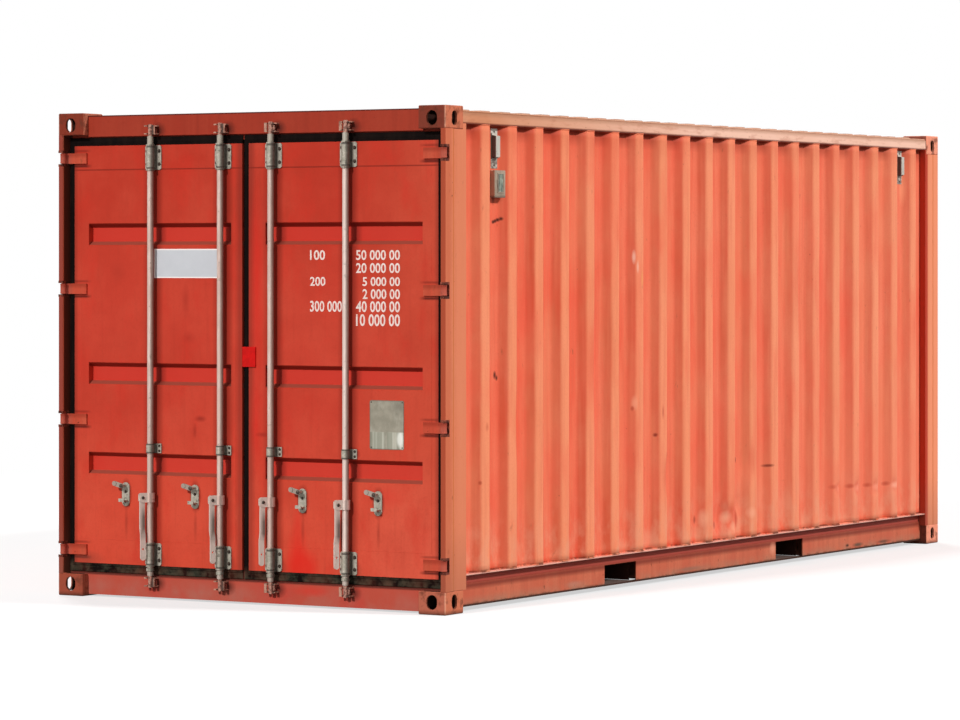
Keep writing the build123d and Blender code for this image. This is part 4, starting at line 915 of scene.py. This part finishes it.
# Beside each rod the door is painted darker: painted shade low to its right, a painted shadow down
# its right side and a fainter painted shade down its left. Behind each handle it is painted
# near-black: painted shade in the gap between handle and rod.
for _, rod_y, side in rods.values():
    drip = coat.spot((leaf_face, rod_y + side * retainer_reach, 0.40), (0.04, 0.014, 0.10), 0.9)
    coat.lay("#8f2f20", 0.5, outer_side, drip)
    shade = coat.spot((leaf_face, rod_y - 0.035, 0.20), (0.04, 0.050, 0.060), 0.8)
    coat.lay("#7d2c1e", 0.6, outer_side, shade)
    for low, high, blur, cover in ((-46, 6, 34, 0.55), (32, 60, 24, 0.30)):
        rod_shadow_band = coat.across(rod_y + low * mm, rod_y + high * mm, blur * mm)
        coat.lay("#5a130c", cover, outer_side, rod_shadow_band)
    behind_handle = coat.spot((leaf_face, rod_y + 0.035, 0.385), (0.04, 0.024, 0.175), 0.5)
    coat.lay("#1e0a06", 0.9, outer_side, behind_handle)
    for across, height, wide, tall in (
        (side * retainer_reach, 0.553, 0.042, 0.090),
        (0, 0.238, 0.066, 0.082),
        (0, 2.348, 0.066, 0.082),
        (-0.020, 0.803, 0.052, 0.040),
    ):
        dirt = coat.spot((leaf_face, rod_y + across, height), (0.04, wide, tall), 0.4)
        coat.lay("#4a130c", 0.55, outer_side, dirt)
coat.raise_up(coat.patches(0.005, 0.5, 0.3), 0.2 * mm)
coat.raise_up(coat.patches(0.45, 0.5, 0.3), 2 * mm)
door_enamel = coat.cure()
for door in ("left", "right"):
    dress(door_enamel, f"{door}_door_frame", f"{door}_door_panel")
    low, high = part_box(f"{door}_door_panel")
    border = [
        (leaf_face + 0.6 * mm, across, up)
        for across, up in ((low.y, low.z), (high.y, low.z), (high.y, high.z), (low.y, high.z))
    ]
    weld_seam(
        f"{door}_panel_weld", [border], 1.5 * mm, door_enamel, f"{door}_door", True
    )

# Door seals: extruded rubber gaskets with a ribbed bead and a soft lip, carried round each
# leaf and mitred at its corners. Rubber bleaches to dark grey and holds mud along the sill.
coat = Finish("black extruded rubber", "#0d0605", 0.75, shine=0.05)
coat.lay("#1f1410", 0.5, coat.patches(0.05, 0.55, 0.1, (1, 1, 0.3)))
coat.lay("#43483a", 0.7, coat.up(0.20, 0.15), coat.patches(0.04, 0.50, 0.12))
coat.lay("#6c3426", 0.5, coat.up(0.20, 0.15), coat.patches(0.16, 0.55, 0.14))
gasket_rubber = coat.cure()
bead_width = 14 * mm
cut_spare = 30 * mm
# The gasket's section: millimetres out from the leaf, share of the lip, millimetres behind.
seal_section = (
    (0, 0, 2.8),
    (2.5, 0, 2.1),
    (6, 0, 2.1),
    (7, 0, 3.6),
    (8.5, 0, 3.6),
    (9.5, 0, 2.1),
    (13, 0, 2.1),
    (14, 0, 4.4),
    (14, 0.06, 6.8),
    (14, 0.30, 6.2),
    (14, 0.55, 7.0),
    (14, 0.85, 6.3),
    (14, 0.97, 7.8),
    (14, 1.0, 9.6),
    (14, 0.97, 13.3),
    (14, 0.55, 13.3),
    (0, 0, 13.3),
)


def stand_out(gap, out, share):
    """How far a point of the section stands out from a leaf edge with that gap to seal."""
    if gap < bead_width:
        return out * mm + cut_spare
    return out * mm + share * (gap - bead_width)


for door in ("left", "right"):
    leaf_low, leaf_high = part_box(f"{door}_door_frame")
    lip_low, lip_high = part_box(f"{door}_door_seal")
    gasket = bmesh.new()
    rings = []
    for out, share, depth in seal_section:
        near = leaf_low.y - stand_out(leaf_low.y - lip_low.y, out, share)
        far = leaf_high.y + stand_out(lip_high.y - leaf_high.y, out, share)
        bottom = leaf_low.z - stand_out(leaf_low.z - lip_low.z, out, share)
        top = leaf_high.z + stand_out(lip_high.z - leaf_high.z, out, share)
        corners = ((near, bottom), (far, bottom), (far, top), (near, top))
        rings.append([(leaf_face + depth * mm, across, up) for across, up in corners])
    carry_round(gasket, rings)
    if door == "left":
        bmesh.ops.bisect_plane(
            gasket,
            geom=gasket.verts[:] + gasket.edges[:] + gasket.faces[:],
            plane_co=(0, leaf_low.y, 0),
            plane_no=(0, -1, 0),
            clear_outer=True,
        )
        open_edges = [edge for edge in gasket.edges if edge.is_boundary]
        bmesh.ops.holes_fill(gasket, edges=open_edges, sides=0)
    close_up(gasket)
    seal = add_piece(f"{door}_gasket", gasket, gasket_rubber, f"{door}_door")
    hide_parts(f"{door}_door_seal")

# Hinges: pressed blades on the leaves and lug plates in the posts, painted with the doors.
# The knuckles are greased; the lugs round them are painted dark, partly black grease and partly
# painted shade, and the top of each blade is painted darker as painted shade.
coat = Finish("hull paint on the hinges", "#c24631", 0.55)
age(coat, "#93371f", "#cf6a4c", 0.68, 0.35)
coat.lay("#a8594a", 0.6, coat.aside(1.150, 1.185))
# The top of each blade is painted darker: painted shade.
for height in hinge_heights:
    coat.lay("#8c2b1a", 0.55, coat.up(height + 8 * mm, height + 44 * mm, 18 * mm))
hinge_enamel = coat.cure()
dress(hinge_enamel, "left_hinge_blades", "right_hinge_blades")
# The lugs are painted dark, partly grease and partly painted shade round the knuckles.
coat = Finish("greasy hull paint on the hinge lugs", "#7c3a2b", 0.6)
coat.lay("#2c100b", 0.8, coat.patches(0.03, 0.45, 0.1))
coat.lay("#b0624c", 0.6, coat.patches(0.02, 0.60, 0.08))
dress(coat.cure(), "hinge_lugs")

# Hinge eyes: the outer end of each blade, rolled round its pin with a lip at both ends.
eye_section = [(14, -26), (17, -26), (17.4, -25), (17.4, -21), (16.2, -19.5), (16.2, 19.5)]
eye_section += [(17.4, 21), (17.4, 25), (17, 26), (14, 26), (14, -26)]
for door in ("left", "right"):
    pin = joints[f"{door}_door_hinge"]["pos_m"]
    eyes = bmesh.new()
    for height in hinge_heights:
        turn(eyes, eye_section, (pin[0], pin[1], height), (0, 0, 1), 28)
    close_up(eyes)
    add_piece(f"{door}_hinge_eyes", eyes, hinge_enamel, f"{door}_door")

# Lock gear: rods, handles and catches of drawn and drop-forged steel, dipped in molten zinc.
# The zinc has dulled to a warm grey. Grease and rust sit at the cams; the rods' sides and the
# handles' fronts beside the rods are painted darker as painted shade.
coat = Finish("weathered hot-dip galvanised steel", "#cfb0a3", 0.5, 0.25, 0.4)
coat.lay("#ab968b", 0.4, coat.patches(0.05, 0.52, 0.12, (1, 1, 0.3)))
coat.lay("#e6d5cb", 0.4, coat.patches(0.02, 0.58, 0.08, (1, 1, 0.2)))
coat.lay("#6d5a49", 0.6, coat.patches(0.03, 0.67, 0.05))
coat.lay("#f6e6dc", 0.35, coat.across(-0.40, -0.55))
# Down each rod's right side, and thinly down its left, the zinc is painted darker, and each
# handle's front is painted dark low beside the rod: painted shade.
for _, rod_y, side in rods.values():
    for low, high, cover in ((-20, -10, 0.60), (15, 20, 0.45)):
        coat.lay("#6e574c", cover, coat.across(rod_y + low * mm, rod_y + high * mm, 6 * mm))
    catch_place = (-3.02, rod_y + side * retainer_reach, 0.599)
    coat.lay("#7d7668", 0.7, coat.spot(catch_place, (0.06, 0.090, 0.060), 0.3))
    handle_front = coat.along(-3.031, -3.036)
    bar = coat.where(coat.up(0.20, 0.60, 4 * mm), coat.across(rod_y, rod_y + 60 * mm, 6 * mm))
    coat.lay("#dccfc2", 0.75, handle_front, bar)
    handle_shade = coat.where(
        coat.up(0.345, 0.475, 70 * mm), coat.across(rod_y, rod_y + 22 * mm, 9 * mm)
    )
    coat.lay("#453327", 0.80, handle_front, handle_shade)
coat.lay("#8c9080", 0.65, coat.up(2.405, 2.465, 10 * mm))
coat.lay("#8c8a7c", 0.5, coat.up(0.12, 0.185, 10 * mm))
for low, high in ((2.462, 2.60), (0.0, 0.125)):
    cam_zone = coat.up(low, high, 6 * mm)
    coat.lay("#b9806c", 0.85, cam_zone)
    coat.lay("#3d231a", 0.75, cam_zone, coat.patches(0.012, 0.50, 0.1))
zinc_steel = coat.cure()
for name in rods:
    dress(zinc_steel, f"{name}_lock_rod", f"{name}_handle", f"{name}_catch")

# Brackets, guides and retainers: pressed steel, galvanised too, but dirtier, with a green
# cast from old grease and a dark ring at each end of a sleeve.
sleeve_ends = (0.188, 0.289, 0.781, 0.825, 2.292, 2.404)
coat = Finish("greasy galvanised pressings", "#a89f90", 0.55, 0.3, 0.5)
coat.lay("#7f8272", 0.5, coat.patches(0.03, 0.52, 0.1))
coat.lay("#d3cabd", 0.45, coat.patches(0.014, 0.58, 0.08))
coat.lay("#3c332a", 0.7, coat.patches(0.018, 0.62, 0.06))
sleeve_front = coat.along(-2.990, -2.994)
for height in sleeve_ends:
    coat.lay("#2b241f", 0.8, coat.up(height - 4 * mm, height + 4 * mm, 3 * mm), sleeve_front)
# Down each sleeve's right side, and thinly down its left, the pressings are painted darker: painted
# shade.
for _, rod_y, _ in rods.values():
    for low, high, cover in ((-32, -12, 0.75), (18, 26, 0.65)):
        coat.lay("#3d332b", cover, coat.across(rod_y + low * mm, rod_y + high * mm, 10 * mm))
bracket_steel = coat.cure()
for door in ("left", "right"):
    dress(bracket_steel, f"{door}_rod_brackets", f"{door}_handle_retainers")

# Cam keepers: forged claws on the header and sill that the cams hook into. They are worn to
# pinkish primer and rust, and are near-black to the right of each rod: black grease in the claw and
# painted shadow.
coat = Finish("worn primer on forged keepers", "#b98672", 0.6, shine=0.25)
coat.lay("#d2a893", 0.5, coat.patches(0.02, 0.55, 0.1))
coat.lay("#5a3526", 0.7, coat.patches(0.015, 0.56, 0.08))
# Near-black to the right of each rod: partly grease, partly painted shadow.
for _, rod_y, _ in rods.values():
    coat.lay("#1d120d", 0.85, coat.across(rod_y - 30 * mm, rod_y - 8 * mm, 6 * mm))
dress(coat.cure(), "cam_keepers")

# Rod rings: forged rings welded to each rod above and below its sleeves, which keep it from
# sliding, and a wider thrust collar over the bottom cam.
ring_section = [(17.2, 0), (22.5, 0), (24, 1.5), (24, 6.5), (22.5, 8), (17.2, 8), (17.2, 0)]
collar_section = [(17.2, 0), (20, 0), (21.5, 1.5), (21.5, 16), (20, 17.5), (17.2, 17.5), (17.2, 0)]
ring_heights, collar_height = (2.4095, 2.2775, 0.2945, 0.1745), 0.1500
for name, (rod_x, rod_y, _) in rods.items():
    rings = bmesh.new()
    for height in ring_heights:
        turn(rings, ring_section, (rod_x, rod_y, height), (0, 0, 1), 28)
    turn(rings, collar_section, (rod_x, rod_y, collar_height), (0, 0, 1), 28)
    close_up(rings)
    add_piece(f"{name}_rod_rings", rings, bracket_steel, f"{name}_rod")

# Handle rivets: a domed rivet head on each side of every hub, black with grease.
hub_half = 13.8 * mm
for name in rods:
    pivot = Vector(joints[f"{name}_handle_lift"]["pos_m"])
    swing = Vector(joints[f"{name}_handle_lift"]["axis"]).normalized()
    heads = bmesh.new()
    for way in (-1, 1):
        turn(heads, dome(9, 4), pivot + way * hub_half * swing, way * swing, 16)
    close_up(heads)
    add_piece(f"{name}_hub_rivets", heads, rivet_steel, f"{name}_rod")

# Bolts on the lock gear: hexagon heads on washers through the bracket plates and guides, and
# a pivot bolt on each catch.
washer = [(0, 0.2), (9.5, 0.2), (10, 0), (10, -1)]
hexagon = [(0, 6.2), (6.6, 6.2), (7.6, 5.2), (7.6, -0.5)]
plate_face, catch_face = leaf_face - 7 * mm, -3.0285
bracket_bolts, guide_bolts, retainer_bolt = (0.207, 0.270, 2.313, 2.383), (0.790, 0.816), 0.566
for door in ("left", "right"):
    bolts = bmesh.new()
    for name, (_, rod_y, side) in rods.items():
        if not name.startswith(door):
            continue
        places = [
            (rod_y + way * 39 * mm, height, 1.0) for way in (-1, 1) for height in bracket_bolts
        ]
        places += [(rod_y - 40 * mm, height, 0.75) for height in guide_bolts]
        places += [(rod_y + side * retainer_reach, retainer_bolt, 0.8)]
        for across, height, size in places:
            for profile, steps in ((washer, 18), (hexagon, 6)):
                foot = (plate_face, across, height)
                turn(bolts, profile, foot, (-1, 0, 0), steps, size * mm)
        pivot = joints[f"{name}_catch_turn"]["pos_m"]
        turn(bolts, dome(11, 5), (catch_face, pivot[1], pivot[2]), (-1, 0, 0), 16)
    close_up(bolts, fill=True)
    add_piece(f"{door}_lock_bolts", bolts, rivet_steel, f"{door}_door")

# Overlap plate: a block welded on the right leaf, touched up in bright red.
coat = Finish("bright red touch-up enamel", "#d21310", 0.4)
coat.lay("#a80e0c", 0.4, coat.patches(0.03, 0.52, 0.1))
dress(coat.cure(), "door_overlap_plate")

# Data plate: a blank zinc-coated steel plate riveted to the right door, with a plain strip of
# bands along its foot. It has weathered to blotchy grey.


def trim(coat, colour, cover, low, high, low_rim, high_rim):
    """Lay a colour along the four rims between two corners; each rim has a start and an end."""
    for axis, near, far in ((coat.across, low[0], high[0]), (coat.up, low[1], high[1])):
        coat.lay(colour, cover, axis(near + low_rim[0] * mm, near + low_rim[1] * mm))
        coat.lay(colour, cover, axis(far - high_rim[0] * mm, far - high_rim[1] * mm))


def door_sheet(low, high, columns, rows):
    """Flat sheet over the doors' face between two corners, given as across and up."""
    shape = bmesh.new()
    bmesh.ops.create_grid(shape, x_segments=columns, y_segments=rows, size=0.5)
    facing_door = Matrix(((0, 0, -1), (-1, 0, 0), (0, 1, 0)))
    middle = (leaf_face - 0.3 * mm, (low[0] + high[0]) / 2, (low[1] + high[1]) / 2)
    bmesh.ops.scale(shape, verts=shape.verts, vec=(high[0] - low[0], high[1] - low[1], 1))
    bmesh.ops.rotate(shape, verts=shape.verts, matrix=facing_door)
    bmesh.ops.translate(shape, verts=shape.verts, vec=middle)
    return shape


plate_low, plate_high = (-0.941, 0.831), (-0.734, 1.083)
band_top = 0.919
rivet_inset = 10 * mm
coat = Finish("weathered zinc-coated data plate", "#9a9382", 0.45, 0.2, 0.4)
coat.lay("#7d7767", 0.6, coat.patches(0.05, 0.50, 0.14))
coat.lay("#b9b3a4", 0.5, coat.patches(0.04, 0.57, 0.1, (1, 1, 0.4)))
strip = coat.up(band_top + 3 * mm, band_top - 1 * mm)
coat.lay("#c9c8b8", 0.75, strip, coat.patches(0.05, 0.50, 0.10, (0, 1, 0.01), 1))
coat.lay("#70705e", 0.6, strip, coat.patches(0.04, 0.55, 0.06, (0, 1, 0.01), 1))
# A near-white patch low on the right of the strip: a painted glint.
coat.lay("#efeee4", 0.7, strip, coat.spot((leaf_face, -0.918, 0.885), (0.05, 0.024, 0.050), 0.5))
coat.lay("#645d4e", 0.6, coat.spot((leaf_face, -0.905, 1.050), (0.05, 0.060, 0.060), 0.9))
# Dark rims round the plate: painted shade at its edges.
trim(coat, "#5a4638", 0.65, plate_low, plate_high, (6, 2), (5, 2))
data_plate = door_sheet(plate_low, plate_high, 1, 1)
round_off(data_plate, data_plate.verts[:], 9 * mm, 4, "VERTICES")
bmesh.ops.recalc_face_normals(data_plate, faces=data_plate.faces)
bmesh.ops.solidify(data_plate, geom=data_plate.faces[:], thickness=1.5 * mm)
outermost = min(vert.co.x for vert in data_plate.verts)
push = (leaf_face - 1.6 * mm - outermost, 0, 0)
bmesh.ops.translate(data_plate, verts=data_plate.verts, vec=push)
close_up(data_plate)
add_piece("data_plate", data_plate, coat.cure(), "right_door")
plate_rivets = bmesh.new()
for across in (plate_low[0] + rivet_inset, plate_high[0] - rivet_inset):
    for up in (plate_low[1] + rivet_inset, plate_high[1] - rivet_inset):
        turn(plate_rivets, dome(4, 2), (leaf_face - 1.5 * mm, across, up), (-1, 0, 0), 12)
close_up(plate_rivets)
add_piece("data_plate_rivets", plate_rivets, rivet_steel, "right_door")

# Blank decal: a white vinyl sheet stuck on the left door between two rods. Its face has
# greyed, a pale edge shows where it was trimmed, and one lower corner peels.
decal_low, decal_high = (0.178, 1.708), (0.622, 1.862)
coat = Finish("greyed white vinyl", "#c5c6ca", 0.5, shine=0.2)
coat.lay("#cfd0d3", 0.5, coat.patches(0.12, 0.52, 0.15))
trim(coat, "#fbefe9", 0.9, decal_low, decal_high, (8, 5), (8, 5))
decal = door_sheet(decal_low, decal_high, 12, 4)
for vert in decal.verts:
    peel = max(0, vert.co.y - decal_high[0] + 0.06) * max(0, decal_low[1] + 0.05 - vert.co.z)
    vert.co.x -= 0.8 * peel
bmesh.ops.recalc_face_normals(decal, faces=decal.faces)
bmesh.ops.solidify(decal, geom=decal.faces[:], thickness=0.25 * mm)
close_up(decal)
add_piece("blank_decal", decal, coat.cure(), "left_door")

# Painted figures: white enamel sprayed through a stencil on the right door. They are plain
# round numbers, in a column of three and a column of six.
# Rows from the top: lower and upper height, the long figures and where they start.
figure_rows = (
    (1.803, 1.855, "50 000 00", -0.650),
    (1.736, 1.788, "20 000 00", -0.650),
    (1.669, 1.716, "5 000 00", -0.690),
    (1.602, 1.654, "2 000 00", -0.690),
    (1.535, 1.592, "40 000 00", -0.650),
    (1.463, 1.525, "10 000 00", -0.650),
)
short_figures = {0: ("100", -0.460), 2: ("200", -0.462), 4: ("300 000", -0.564)}
short_start, long_end = -0.367, -0.917
coat = Finish("white stencil enamel", "#ecd9d0", 0.55)
coat.lay("#d79a8a", 0.5, coat.patches(0.012, 0.58, 0.1))


def stencil(shape, words, first, last, low, high):
    """Add figures that read from one place across the door to another, between two heights."""
    letters = bpy.data.curves.new("figures", "FONT")
    letters.body = words
    letters.resolution_u = 3
    letters.offset = 0.018
    letters.extrude = 0.5
    carrier = bpy.data.objects.new("figures", letters)
    sprayed = bpy.data.meshes.new_from_object(carrier)
    across = [vert.co.x for vert in sprayed.vertices]
    up = [vert.co.y for vert in sprayed.vertices]
    wide = (last - first) / (max(across) - min(across))
    tall = (high - low) / (max(up) - min(up))
    on_door = (
        (0, 0, -0.6 * mm, leaf_face - 0.2 * mm),
        (wide, 0, 0, first - min(across) * wide),
        (0, tall, 0, low - min(up) * tall),
        (0, 0, 0, 1),
    )
    sprayed.transform(Matrix(on_door))
    shape.from_mesh(sprayed)
    bpy.data.objects.remove(carrier)
    bpy.data.curves.remove(letters)
    bpy.data.meshes.remove(sprayed)


figures = bmesh.new()
for row, (words, last) in short_figures.items():
    stencil(figures, words, short_start, last, *figure_rows[row][:2])
for low, high, words, first in figure_rows:
    stencil(figures, words, first, long_end, low, high)
add_piece("painted_figures", figures, coat.cure(), "right_door")
